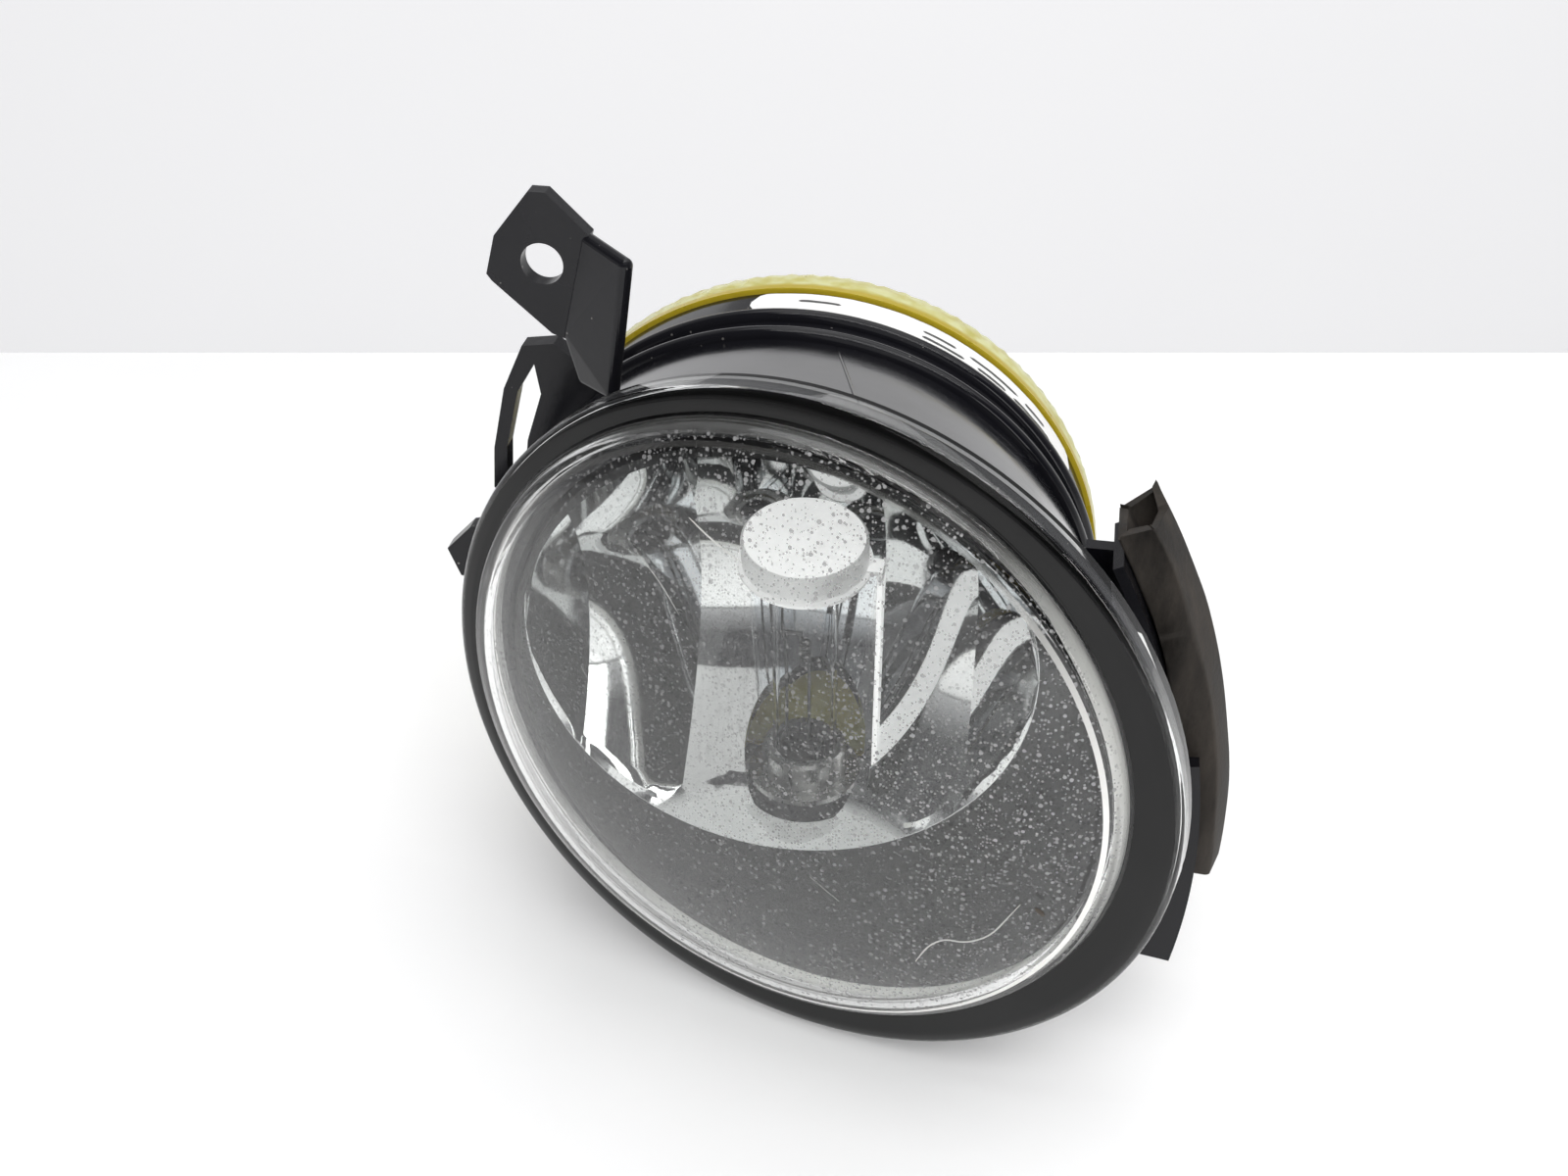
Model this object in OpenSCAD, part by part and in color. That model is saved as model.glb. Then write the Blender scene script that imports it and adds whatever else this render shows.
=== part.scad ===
// Round front fog lamp with a raked clear lens, a black drum housing, a fluted
// reflector, a twist-in bulb, an aim adjuster and three fixing points.
// The origin is the centre of the lens rim. The lamp shines along -Y and +Z is up.

/* [Lens and rim] */
// Outer radius of the lens rim
lens_r = 59; // [56:0.5:62]
// Angle that the rim plane is swept back towards -X
rake = 15; // [10:1:18]
// Radius of the step where the dome leaves the flat rim
step_r = 52.6; // [51:0.2:53.4]
// Thickness of the moulded lens wall
lens_wall = 2.2; // [1.8:0.1:2.6]
// Height of the dome in front of the rim plane
dome_h = 12.5; // [10:0.5:14]

/* [Drum housing] */
// Sideways offset of the drum axis from the lens centre
drum_x = -6.5; // [-8:0.5:-5]
// Radius of the rear, straight part of the drum
drum_r = 48.6; // [48:0.2:49.4]
// Wall thickness of the housing
wall = 2.4; // [2:0.1:2.8]
// Depth at which the taper meets the straight part
taper_y = 36; // [34:0.5:38]
// Depth of the rear end of the drum
drum_y = 53.5; // [53:0.5:55]

/* [Reflector and rear cover] */
// Radius of the reflector opening
reflector_r = 42.5; // [41:0.5:43]
// Depth of the reflector opening
reflector_y = 23; // [22:0.5:25]
// Focal length of the reflector bowl
focal = 15; // [14:0.5:16]
// Depth of the rear cover's curved back
cover_depth = 22; // [20:1:26]

/* [Bulb] */
// Sideways place of the upright bulb axis
bulb_x = -4; // [-6:0.5:-2]
// Depth of the upright bulb axis
bulb_y = 36; // [35:0.5:37]
// Height of the bulb's reference flange
bulb_z = -34; // [-35:0.5:-33]
// Radius of the glass envelope
glass_r = 5.6; // [5:0.1:6]
// Outer radius of the bulb shield
shield_r = 10.6; // [10:0.1:11]

/* [Fixings] */
// Centre of the fixing screw hole
screw_hole = [-41.7, 26, 63.4]; // [-80:0.1:80]
// Radius of the fixing screw hole
screw_hole_r = 3.2; // [3.1:0.05:3.4]
// Angle round the drum at which the aim adjuster sits
adjuster_angle = -62; // [-70:1:-55]
// Distance of the aim adjuster from the drum axis
adjuster_r = 58.5; // [58:0.5:60]
// Radius of the adjuster shaft
adjuster_shaft_r = 2.5; // [2.2:0.1:2.8]

/* [Hidden] */

fine = 144;
medium = 64;
hull_fn = 96;
fit_gap = 0.15;
running_gap = 0.06;

// Rim stack, measured backwards from the rim plane
rim_front = -1.6;
rim_back = 0.8;
skirt_back = 3.6;
skirt_wall = 1.3;
flange_front = 1.1;
flange_back = 3.3;
flange_r = lens_r - skirt_wall - fit_gap;
flange_inner_r = 50.6;
step_shift = [-1, 0, 2.4];
dome_edge = 5.2;

// Depths of the two ridges round the drum
ridge_ys = [taper_y + 1.8, taper_y + 8];

// Deepest point of the reflector bowl
bowl_apex = reflector_y + reflector_r * reflector_r / (4 * focal);

// Amber flange of the rear cover
cover_r = drum_r + 0.7;
cover_front = drum_y + 0.2;
cover_bend = drum_y + 3.5;
cover_wall = 2.2;
vent_z = 14;
vent_back = cover_bend + cover_depth + 1.8;
cover_angles = [195, 240, 345];
ear_r = cover_r + 2.4;
cover_screw_r = 1.5;

// Bulb stack: metal flange at bulb_z, socket ring below the reflector
turret_r = 12.2;
turret_bore_r = 10.7;
socket_r = 15.4;
socket_top = -44.2;
socket_bottom = -54.2;
socket_bore_r = 10.5;
socket_mouth_r = 12.7;
groove_r = 12.6;
groove_top = -45.6;
ledge_top = -48.4;
ledge_bottom = -50.6;
bayonet_lug_r = 12.3;
bayonet_lug_top = -45.9;
bayonet_lug_h = 2.1;
bayonet_lug_w = 5;
bayonet_angles = [90, 210, 330];
bulb_twist = 40;
base_upper_r = 9.4;
base_guide_r = 10.4;
base_flange_r = 11.6;
base_bottom = -56;
base_skirt_top = -54.6;
seal_z = -52.4;
seal_wire_r = 1;
glass_tip = bulb_z + 44;
glass_foot = bulb_z + 0.5;
light_centre = bulb_z + 25;

// Plug housing behind the bulb base
plug_w = 18;
plug_top = -49.8;
plug_bottom = -59.4;
plug_front = bulb_y + socket_r + 1.2;
plug_back = plug_front + 18;
plug_wall = 1.4;
plug_floor = 3;
pin_xs = [-4.6, 4.6];
pin_w = 2.4;
pin_thick = 0.8;
pin_z = (plug_top + plug_bottom) / 2;

// Shield over the tip of the bulb
shield_rim_z = 9.6;
shield_h = 5.8;
shield_tilt = 10;
shield_wall = 0.6;
leg_w = 4.2;
leg_thick = 0.8;
leg_x = bulb_x + turret_r + 0.05;
leg_bottom = -42.5;
rivet_r = 0.9;
rivet_heights = [-36.5, -40];

// Side flange and rubber strip follow one large arc
strip_centre = [-62, 0, -24];
strip_inner_r = 121;
strip_outer_r = 128.5;
strip_from = -1;
strip_to = 29.5;

// Label round the rear of the drum
label_thick = 0.2;
label_from = 28;
label_to = 98;

// Aim adjuster, along Y
adjuster_x = drum_x + adjuster_r * cos(adjuster_angle);
adjuster_z = adjuster_r * sin(adjuster_angle);
lug_front_y = 21;
lug_rear_y = 45;
lug_thick = 3.2;
slider_len = 11;
slider_w = 10;
slider_y = (lug_front_y + lug_thick + lug_rear_y) / 2;
thread_pitch = 1.5;
stud_r = 3;
stud_len = 13;

// ---------- shared shapes ----------

// Turns a profile of [radius, depth] points about the Y axis
module about_y(sides = fine) {
    rotate([-90, 0, 0])
        rotate_extrude($fn = sides)
            children();
}

// Places children in the swept-back plane of the rim
module raked() {
    rotate([0, 0, -rake])
        children();
}

// Places children on the drum axis
module on_drum() {
    translate([drum_x, 0, 0])
        children();
}

// Places children on the drum axis, turned by an angle round it
module round_drum(angle) {
    on_drum()
        rotate([0, -angle, 0])
            children();
}

// A straight disc about Y between two depths
module disc_y(r, from_y, to_y, sides = fine) {
    translate([0, from_y, 0])
        rotate([-90, 0, 0])
            cylinder(r = r, h = to_y - from_y, $fn = sides);
}

// Solid that runs from a raked disc to a straight disc on the drum axis
module skewed_cone(front_r, front_y, rear_r, rear_y) {
    hull() {
        raked()
            disc_y(front_r, front_y, front_y + 0.2, hull_fn);
        on_drum()
            disc_y(rear_r, rear_y - 0.2, rear_y, hull_fn);
    }
}

// Outside of the drum, grown by a gap. The taper ends inside the first ridge.
module drum_envelope(gap) {
    skewed_cone(flange_r - 0.4 + gap, flange_front + 0.5, drum_r - 0.3 + gap, ridge_ys[0]);
    on_drum()
        disc_y(drum_r + gap, ridge_ys[0] - 0.6, drum_y + gap);
    for (ridge_y = ridge_ys)
        on_drum()
            bead(ridge_y, gap);
}

// One rounded ridge round the drum
module bead(ridge_y, gap) {
    about_y()
        translate([drum_r, ridge_y])
            circle(r = 1.5 + gap, $fn = medium);
}

// Flat plate in the X-Z plane
module plate_y(from_y, thick) {
    translate([0, from_y + thick, 0])
        rotate([90, 0, 0])
            linear_extrude(thick)
                children();
}

// ---------- lens group ----------

// Share of the dome's height reached at an angle of 0 to 90 degrees, steep at first
function dome_rise(a) = sin(a) * sin(a) / (0.35 + 0.65 * sin(a));

// Outline of the domed front, filled down to the axis
module dome_outline(r, top) {
    steps = 24;
    edge = r - 1.4;
    rise = top - dome_edge;
    curve = [
        for (i = [0:steps])
            let (a = 90 * i / steps)
                [edge * cos(a), -dome_edge - rise * dome_rise(a)]
    ];
    polygon(concat([[0, rim_back], [r, rim_back], [r, 1.6 - dome_edge], [r - 0.5, 0.5 - dome_edge]], curve));
}

module lens() {
    color([0.86, 0.9, 0.9, 0.35])
        raked()
            difference() {
                union() {
                    about_y()
                        polygon([
                            [step_r - 5, rim_front], [lens_r - 1, rim_front], [lens_r, rim_front + 1],
                            [lens_r, skirt_back], [lens_r - skirt_wall, skirt_back],
                            [lens_r - skirt_wall, rim_back], [step_r - 5, rim_back]
                        ]);
                    translate(step_shift)
                        about_y()
                            dome_outline(step_r, dome_h);
                }
                translate(step_shift + [0, lens_wall, 0])
                    about_y()
                        dome_outline(step_r - lens_wall, dome_h);
            }
}

module lens_seal() {
    color([0.18, 0.18, 0.18])
        raked()
            about_y()
                polygon([
                    [55, rim_back + 0.1], [56.6, rim_back + 0.1],
                    [56.6, flange_front + 0.8], [55, flange_front + 0.8]
                ]);
}

// ---------- housing ----------

// Lug that carries the adjuster shaft
module adjuster_lug(from_y) {
    hull() {
        translate([adjuster_x, 0, adjuster_z])
            disc_y(5.4, from_y, from_y + lug_thick, 32);
        round_drum(adjuster_angle)
            translate([drum_r - 1, from_y, -7])
                cube([1, lug_thick, 14]);
    }
}

// Ears through which the rear cover is screwed on
module screw_ears(from_y, to_y) {
    for (angle = cover_angles)
        round_drum(angle)
            translate([ear_r, 0, 0])
                disc_y(3.9, from_y, to_y, medium);
}

module screw_ear_holes(r, from_y, to_y) {
    for (angle = cover_angles)
        round_drum(angle)
            translate([ear_r, 0, 0])
                disc_y(r, from_y, to_y, medium);
}

module housing() {
    color([0.05, 0.05, 0.06])
        difference() {
            union() {
                drum_envelope(0);
                raked()
                    disc_y(flange_r, flange_front, flange_back);
                screw_ears(drum_y - 6, drum_y);
                for (from_y = [lug_front_y, lug_rear_y])
                    adjuster_lug(from_y);
            }
            skewed_cone(flange_r - wall, flange_back, drum_r - wall - 0.8, taper_y + 2);
            on_drum()
                disc_y(drum_r - wall, taper_y - 0.5, drum_y + 1);
            raked()
                disc_y(flange_inner_r, -5, flange_back + 1);
            raked()
                about_y()
                    translate([54.9, flange_front - 1])
                        square([1.8, 2]);
            screw_ear_holes(cover_screw_r - 0.2, drum_y - 5.5, drum_y + 1);
            translate([adjuster_x, 0, adjuster_z])
                disc_y(adjuster_shaft_r + running_gap, lug_front_y - 1, lug_rear_y + 8, medium);
            translate([bulb_x, bulb_y, socket_bottom - 5])
                cylinder(r = socket_r + fit_gap, h = 25, $fn = fine);
        }
}

module bezel() {
    front_r = flange_inner_r - 1.2;
    color([0.13, 0.13, 0.13])
        difference() {
            skewed_cone(front_r, flange_front, reflector_r + 1.6, reflector_y - 0.3);
            skewed_cone(front_r - 1.4, flange_front - 0.3, reflector_r + 0.1, reflector_y);
        }
}

// ---------- reflector ----------

// Points along the bowl, from the opening to the apex
function bowl_points(offset_r, offset_y, steps = 20) = [
    for (i = [0:steps])
        let (r = reflector_r * (1 - i / steps))
            [r + offset_r * (1 - i / steps), bowl_apex - r * r / (4 * focal) + offset_y]
];

// Solid that fills the bowl
module bowl_cavity() {
    on_drum()
        about_y()
            polygon(concat([[0, reflector_y - 1], [reflector_r, reflector_y - 1]], bowl_points(0, 0)));
}

module reflector() {
    bowl_wall = 2;
    flange_r_out = drum_r - wall - 0.9;
    back = [for (i = [0:20]) bowl_points(1.6, bowl_wall)[20 - i]];
    color([0.8, 0.8, 0.82])
        difference() {
            union() {
                on_drum()
                    about_y()
                        polygon(concat(bowl_points(0, 0), back));
                on_drum()
                    about_y()
                        polygon([
                            [reflector_r, reflector_y], [flange_r_out, reflector_y + 8],
                            [flange_r_out, reflector_y + 10.5], [reflector_r + 0.4, reflector_y + 2.4]
                        ]);
                difference() {
                    translate([bulb_x, bulb_y, socket_top + 0.2])
                        cylinder(r = turret_r, h = -socket_top, $fn = medium);
                    bowl_cavity();
                }
            }
            translate([bulb_x, bulb_y, -70])
                cylinder(r = turret_bore_r, h = 70, $fn = medium);
            translate([bulb_x, bulb_y, -70])
                cylinder(r = socket_r + 0.4, h = 70 + socket_top + 0.1, $fn = fine);
            leg_slot();
            rivets(rivet_r + 0.02, 8);
        }
}

// Slot through which the shield's leg passes
module leg_slot() {
    translate([leg_x - 0.03, bulb_y - leg_w / 2 - 0.3, socket_top - 1])
        cube([leg_thick + 0.6, leg_w + 0.6, -socket_top]);
}

// ---------- rear cover ----------

// Points along the rounded back of the cover
function cover_points(inset, steps = 24) = [
    for (i = [0:steps])
        let (a = 90 * i / steps)
            [(cover_r - inset) * cos(a), cover_bend + (cover_depth - inset) * sin(a)]
];

module rear_cover() {
    seat_r = drum_r - wall - 0.3;
    color([0.8, 0.66, 0.08])
        difference() {
            union() {
                on_drum()
                    about_y()
                        polygon(concat(
                            [[seat_r, cover_front], [cover_r, cover_front]],
                            cover_points(0),
                            [for (i = [0:24]) cover_points(cover_wall)[24 - i]]
                        ));
                screw_ears(cover_front, cover_front + 3.2);
                vent_boss(4.6);
            }
            cover_cavity();
            cover_seal_ring(0.1);
            screw_ear_holes(cover_screw_r + 0.15, cover_front - 1, cover_front + 5);
            vent_boss(2.2, 1);
        }
}

// Inside of the cover
module cover_cavity() {
    on_drum()
        about_y()
            polygon(concat(
                [[0, cover_front - 1], [drum_r - wall - 0.3, cover_front - 1]],
                cover_points(cover_wall)
            ));
}

// Round boss for the vent, high on the back
module vent_boss(r, extra = 0) {
    on_drum()
        translate([0, 0, vent_z])
            disc_y(r, cover_bend + 6, vent_back + extra, medium);
}

// Ring between housing and cover
module cover_seal_ring(gap) {
    inner_r = drum_r - wall + 0.4;
    outer_r = drum_r - 0.5;
    on_drum()
        about_y()
            polygon([
                [inner_r - gap, drum_y + 0.04], [outer_r + gap, drum_y + 0.04],
                [outer_r + gap, cover_front + 0.8 + gap], [inner_r - gap, cover_front + 0.8 + gap]
            ]);
}

module cover_seal() {
    color([0.1, 0.1, 0.1])
        cover_seal_ring(0);
}

module cover_screws() {
    color([0.55, 0.55, 0.57])
        for (angle = cover_angles)
            round_drum(angle)
                translate([ear_r, 0, 0])
                    cover_screw();
}

module cover_screw() {
    head_y = cover_front + 3.25;
    head_r = 2.2;
    difference() {
        union() {
            disc_y(cover_screw_r - 0.25, drum_y - 5, head_y + 0.5, medium);
            disc_y(head_r, head_y, head_y + 2.2, medium);
        }
        for (turn = [0, 90])
            rotate([0, turn, 0])
                translate([-1.6, head_y + 1, -0.3])
                    cube([3.2, 2, 0.6]);
    }
}

// ---------- bulb shield ----------

module bulb_shield() {
    inner_r = shield_r - shield_wall;
    color([0.92, 0.92, 0.93])
        difference() {
            union() {
                shield_cap(inner_r);
                translate([bulb_x + inner_r + 0.2, bulb_y - leg_w / 2, shield_rim_z])
                    cube([leg_x + leg_thick - bulb_x - inner_r - 0.2, leg_w, 0.8]);
                translate([leg_x, bulb_y - leg_w / 2, leg_bottom])
                    cube([leg_thick, leg_w, shield_rim_z + 0.8 - leg_bottom]);
            }
            rivets(rivet_r + 0.02, 8);
        }
}

// Round cap with a turned-out rim, tipped towards the lens about its rim
module shield_cap(inner_r) {
    translate([bulb_x, bulb_y, shield_rim_z])
        rotate([shield_tilt, 0, 0])
            rotate_extrude($fn = fine)
                polygon([
                    [0, shield_h - shield_wall], [inner_r, shield_h - shield_wall], [inner_r, 0],
                    [shield_r + 0.7, 0], [shield_r + 0.7, 0.6], [shield_r, 0.9],
                    [shield_r, shield_h - 0.5], [shield_r - 0.5, shield_h], [0, shield_h]
                ]);
}

// Shanks of the rivets through leg and turret, along X
module rivets(r, length) {
    for (z = rivet_heights)
        translate([leg_x - length / 2, bulb_y, z])
            rotate([0, 90, 0])
                cylinder(r = r, h = length, $fn = 32);
}

module shield_rivets() {
    inner_face = bulb_x + turret_bore_r - 0.15;
    outer_face = leg_x + leg_thick;
    color([0.6, 0.6, 0.62])
        for (z = rivet_heights) {
            translate([inner_face, bulb_y, z])
                rotate([0, 90, 0])
                    cylinder(r = rivet_r, h = outer_face - inner_face + 0.3, $fn = 32);
            translate([outer_face + 0.03, bulb_y, z])
                rotate([0, 90, 0])
                    cylinder(r1 = rivet_r + 0.8, r2 = rivet_r + 0.3, h = 0.7, $fn = 32);
        }
}

// ---------- bulb ----------

module at_bulb() {
    translate([bulb_x, bulb_y, 0])
        children();
}

module bulb_socket() {
    color([0.09, 0.09, 0.09])
        difference() {
            at_bulb()
                rotate_extrude($fn = fine)
                    polygon([
                        [socket_bore_r, socket_top], [socket_r, socket_top], [socket_r, socket_bottom],
                        [socket_mouth_r, socket_bottom], [socket_mouth_r, ledge_bottom],
                        [socket_bore_r, ledge_bottom], [socket_bore_r, ledge_top],
                        [groove_r, ledge_top], [groove_r, groove_top], [socket_bore_r, groove_top]
                    ]);
            at_bulb()
                for (angle = bayonet_angles)
                    rotate([0, 0, angle + bulb_twist])
                        translate([0, -bayonet_lug_w / 2 - 0.4, ledge_bottom - 0.5])
                            cube([groove_r - 0.05, bayonet_lug_w + 0.8, ledge_top - ledge_bottom + 1]);
        }
}

// One bayonet lug, pointing along +X
module bayonet_lug() {
    translate([0, 0, bayonet_lug_top - bayonet_lug_h])
        intersection() {
            cylinder(r = bayonet_lug_r, h = bayonet_lug_h, $fn = fine);
            translate([base_upper_r - 1, -bayonet_lug_w / 2, 0])
                cube([5, bayonet_lug_w, bayonet_lug_h]);
        }
}

module bulb_base() {
    color([0.12, 0.12, 0.13])
        at_bulb()
            difference() {
                union() {
                    rotate_extrude($fn = fine)
                        difference() {
                            polygon([
                                [0, bulb_z - 1.1], [base_upper_r, bulb_z - 1.1],
                                [base_upper_r, groove_top + 0.4],
                                [base_guide_r, groove_top + 0.2], [base_guide_r, ledge_bottom - 0.2],
                                [base_flange_r, ledge_bottom - 0.4], [base_flange_r, base_skirt_top],
                                [socket_r - 1, base_skirt_top], [socket_r - 1, base_bottom], [0, base_bottom]
                            ]);
                            translate([base_flange_r, seal_z])
                                circle(r = seal_wire_r, $fn = medium);
                        }
                    for (angle = bayonet_angles)
                        rotate([0, 0, angle])
                            bayonet_lug();
                    plug_neck();
                    plug_shell();
                    grip_wings();
                }
                plug_cavity();
                pin_slots();
            }
}

// Web from the base back to the plug housing
module plug_neck() {
    translate([-plug_w / 2 + 2, 0, base_bottom - 1.2])
        cube([plug_w - 4, plug_front - bulb_y + 1, 2.4]);
}

// Wings by which the bulb is turned
module grip_wings() {
    for (side = [-1, 1])
        translate([side * 6 - 0.9, -12, base_bottom - 3])
            cube([1.8, 24, 3.5]);
}

module plug_shell() {
    corner = 2;
    translate([0, plug_front - bulb_y, 0])
        rotate([-90, 0, 0])
            linear_extrude(plug_back - plug_front)
                union() {
                    translate([-plug_w / 2 + corner, -plug_top])
                        square([plug_w - 2 * corner, plug_top - plug_bottom]);
                    translate([-plug_w / 2, -plug_top + corner])
                        square([plug_w, plug_top - plug_bottom - 2 * corner]);
                    for (x = [-1, 1], z = [-plug_top + corner, -plug_bottom - corner])
                        translate([x * (plug_w / 2 - corner), z])
                            circle(r = corner, $fn = medium);
                }
    translate([-3, plug_back - bulb_y - 9, plug_bottom - 1.4])
        cube([6, 5, 1.6]);
}

// Opening that the lead's plug slides into
module plug_cavity() {
    translate([-plug_w / 2 + plug_wall, plug_front - bulb_y + plug_floor, plug_bottom + plug_wall])
        cube([plug_w - 2 * plug_wall, plug_back - plug_front, plug_top - plug_bottom - 2 * plug_wall]);
}

module pin_slots() {
    for (x = pin_xs)
        translate([x - pin_w / 2 - 0.02, 4, pin_z - pin_thick / 2 - 0.02])
            cube([pin_w + 0.04, plug_front - bulb_y + plug_floor, pin_thick + 0.04]);
}

module contact_pins() {
    color([0.75, 0.74, 0.7])
        at_bulb()
            for (x = pin_xs)
                translate([x - pin_w / 2, 5, pin_z - pin_thick / 2])
                    cube([pin_w, plug_back - bulb_y - 4 - 5, pin_thick]);
}

module bulb_collar() {
    sleeve_r = 7.4;
    color([0.7, 0.7, 0.72])
        at_bulb()
            rotate_extrude($fn = medium)
                polygon([
                    [glass_r + 0.1, bulb_z - 1], [base_upper_r + 0.5, bulb_z - 1],
                    [base_upper_r + 0.5, bulb_z],
                    [sleeve_r, bulb_z], [sleeve_r, bulb_z + 5], [sleeve_r - 0.5, bulb_z + 5.5],
                    [glass_r + 0.1, bulb_z + 5.5]
                ]);
}

module bulb_seal() {
    color([0.1, 0.35, 0.22])
        at_bulb()
            rotate_extrude($fn = fine)
                translate([base_flange_r + 0.02, seal_z])
                    circle(r = seal_wire_r - 0.03, $fn = medium);
}

module bulb_glass() {
    glass_wall = 0.9;
    tip_r = 2.4;
    color([0.9, 0.93, 0.95, 0.3])
        at_bulb()
            rotate_extrude($fn = medium)
                polygon(concat(
                    [[glass_r - glass_wall, glass_foot], [glass_r, glass_foot]],
                    tip_arc(tip_r, tip_r, 0, 90),
                    [[0, glass_tip], [0, glass_tip - glass_wall]],
                    tip_arc(tip_r, tip_r - glass_wall, 90, 0)
                ));
}

// Quarter circle round the shoulder of the glass tip, between two angles
function tip_arc(centre_in, r, from_angle, to_angle, steps = 10) = [
    for (i = [0:steps])
        let (a = from_angle + (to_angle - from_angle) * i / steps)
            [glass_r - centre_in + r * cos(a), glass_tip - centre_in + r * sin(a)]
];

module filament() {
    coil_len = 4.4;
    coil_r = 0.75;
    wire_r = 0.28;
    turns = 9;
    support_x = -3.2;
    support_top = light_centre + coil_len / 2 + 2;
    pinch = [6.4, 3.2, 5];
    color([0.35, 0.34, 0.33])
        at_bulb() {
            for (i = [0:turns - 1])
                translate([0, 0, light_centre - coil_len / 2 + i * coil_len / (turns - 1)])
                    rotate_extrude($fn = 32)
                        translate([coil_r, 0])
                            circle(r = wire_r, $fn = 16);
            translate([coil_r, 0, bulb_z + 1])
                cylinder(r = wire_r, h = light_centre + coil_len / 2 - bulb_z - 1, $fn = 24);
            translate([-coil_r, 0, light_centre - coil_len / 2])
                cylinder(r = wire_r, h = coil_len + 2, $fn = 24);
            translate([support_x, 0, bulb_z + 1])
                cylinder(r = wire_r, h = support_top - bulb_z - 1, $fn = 24);
            translate([support_x - wire_r, -wire_r, support_top - 2 * wire_r])
                cube([2 * wire_r - support_x - coil_r, 2 * wire_r, 2 * wire_r]);
            translate([support_x - 1, -pinch[1] / 2, bulb_z + 1.2])
                cube(pinch);
        }
}

// ---------- fixing points ----------

module screw_bracket() {
    plate_t = 2.6;
    plate_front = screw_hole[1] - plate_t / 2;
    outline = [
        [-50.3, 61.2], [-48.6, 67.3], [-43, 74.3], [-40.4, 74.3], [-34.3, 68.2],
        [-38.5, 51.5], [-41, 52.4], [-49.5, 60.1]
    ];
    bend = [[-34.6, 25.4, 67.2], [-28, 20.2, 66.2], [-31, 20.2, 46], [-36, 24, 46], [-38.2, 25.4, 52.4]];
    color([0.04, 0.04, 0.05])
        difference() {
            union() {
                plate_y(plate_front, plate_t)
                    polygon(outline);
                hull()
                    for (p = bend)
                        translate(p)
                            sphere(r = 1.15, $fn = 20);
            }
            drum_envelope(0.08);
            translate([screw_hole[0], 0, screw_hole[2]])
                disc_y(screw_hole_r, 15, 35, medium);
        }
}

module loop_clip() {
    clip_t = 3.2;
    color([0.05, 0.05, 0.05])
        difference() {
            plate_y(34.5, clip_t)
                difference() {
                    polygon([
                        [-44.2, 45.6], [-49.4, 44.8], [-53, 37], [-55.6, 26], [-56.3, 18.5], [-53, 16],
                        [-44, 18], [-34, 38]
                    ]);
                    polygon([
                        [-47.6, 41.8], [-50.8, 36.5], [-53.4, 26.4], [-53.9, 20.6], [-50.9, 20.6],
                        [-49.8, 28], [-46.9, 36.6]
                    ]);
                }
            drum_envelope(0.08);
        }
}

module locating_tab() {
    color([0.05, 0.05, 0.05])
        difference() {
            plate_y(22.5, 3)
                polygon([[-60.8, 13.6], [-56.6, 18], [-49, 20], [-49, 7], [-59, 8.6]]);
            drum_envelope(0.08);
        }
}

// Arc of a profile of [radius, depth] points about the strip's centre
module strip_arc(from_angle, to_angle) {
    translate(strip_centre)
        rotate([0, -to_angle, 0])
            rotate([-90, 0, 0])
                rotate_extrude(angle = to_angle - from_angle, $fn = 360)
                    children();
}

module side_flange() {
    web = 2.4;
    color([0.05, 0.05, 0.05])
        difference() {
            union() {
                strip_arc(strip_from + 1, strip_to - 2)
                    translate([strip_inner_r - 1.7, 8])
                        square([1.6, 12.5]);
                strip_arc(-9, 10)
                    translate([strip_inner_r - 20, 8])
                        square([23, web]);
                plate_y(18, web)
                    polygon([[40, 28], [46.4, 28], [49.7, 21], [52.1, 14], [40, 12]]);
            }
            drum_envelope(0.08);
            translate([-2 * strip_outer_r, -50, -strip_outer_r])
                cube([2 * strip_outer_r, 100, 2 * strip_outer_r]);
        }
}

module seal_strip() {
    outer = [
        [strip_inner_r, 11], [strip_inner_r + 5.6, 10.6], [strip_outer_r, 16.5],
        [strip_inner_r + 6, 22.5], [strip_inner_r, 20.5]
    ];
    inner = [
        [strip_inner_r + 1.3, 12.4], [strip_inner_r + 5, 12.1], [strip_outer_r - 1.6, 16.5],
        [strip_inner_r + 5.5, 20.8], [strip_inner_r + 1.3, 19.2]
    ];
    color([0.13, 0.12, 0.12])
        strip_arc(strip_from, strip_to)
            difference() {
                polygon(outer);
                polygon(inner);
            }
}

module label() {
    color([0.93, 0.93, 0.93])
        on_drum()
            rotate([0, -label_to, 0])
                rotate([-90, 0, 0])
                    rotate_extrude(angle = label_to - label_from, $fn = fine)
                        translate([drum_r + 0.05, ridge_ys[1] + 2])
                            square([label_thick, drum_y - ridge_ys[1] - 2.8]);
}

module breather_cap() {
    color([0.08, 0.08, 0.08])
        on_drum()
            translate([0, 0, vent_z])
                about_y(medium)
                    polygon([
                        [4.7, vent_back - 1.6], [5.9, vent_back - 1.6], [5.9, vent_back + 1.5],
                        [5.2, vent_back + 2.2], [0, vent_back + 2.2], [0, vent_back + 0.1],
                        [4.7, vent_back + 0.1]
                    ]);
}

// ---------- aim adjuster ----------

module at_adjuster() {
    translate([adjuster_x, 0, adjuster_z])
        children();
}

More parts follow.
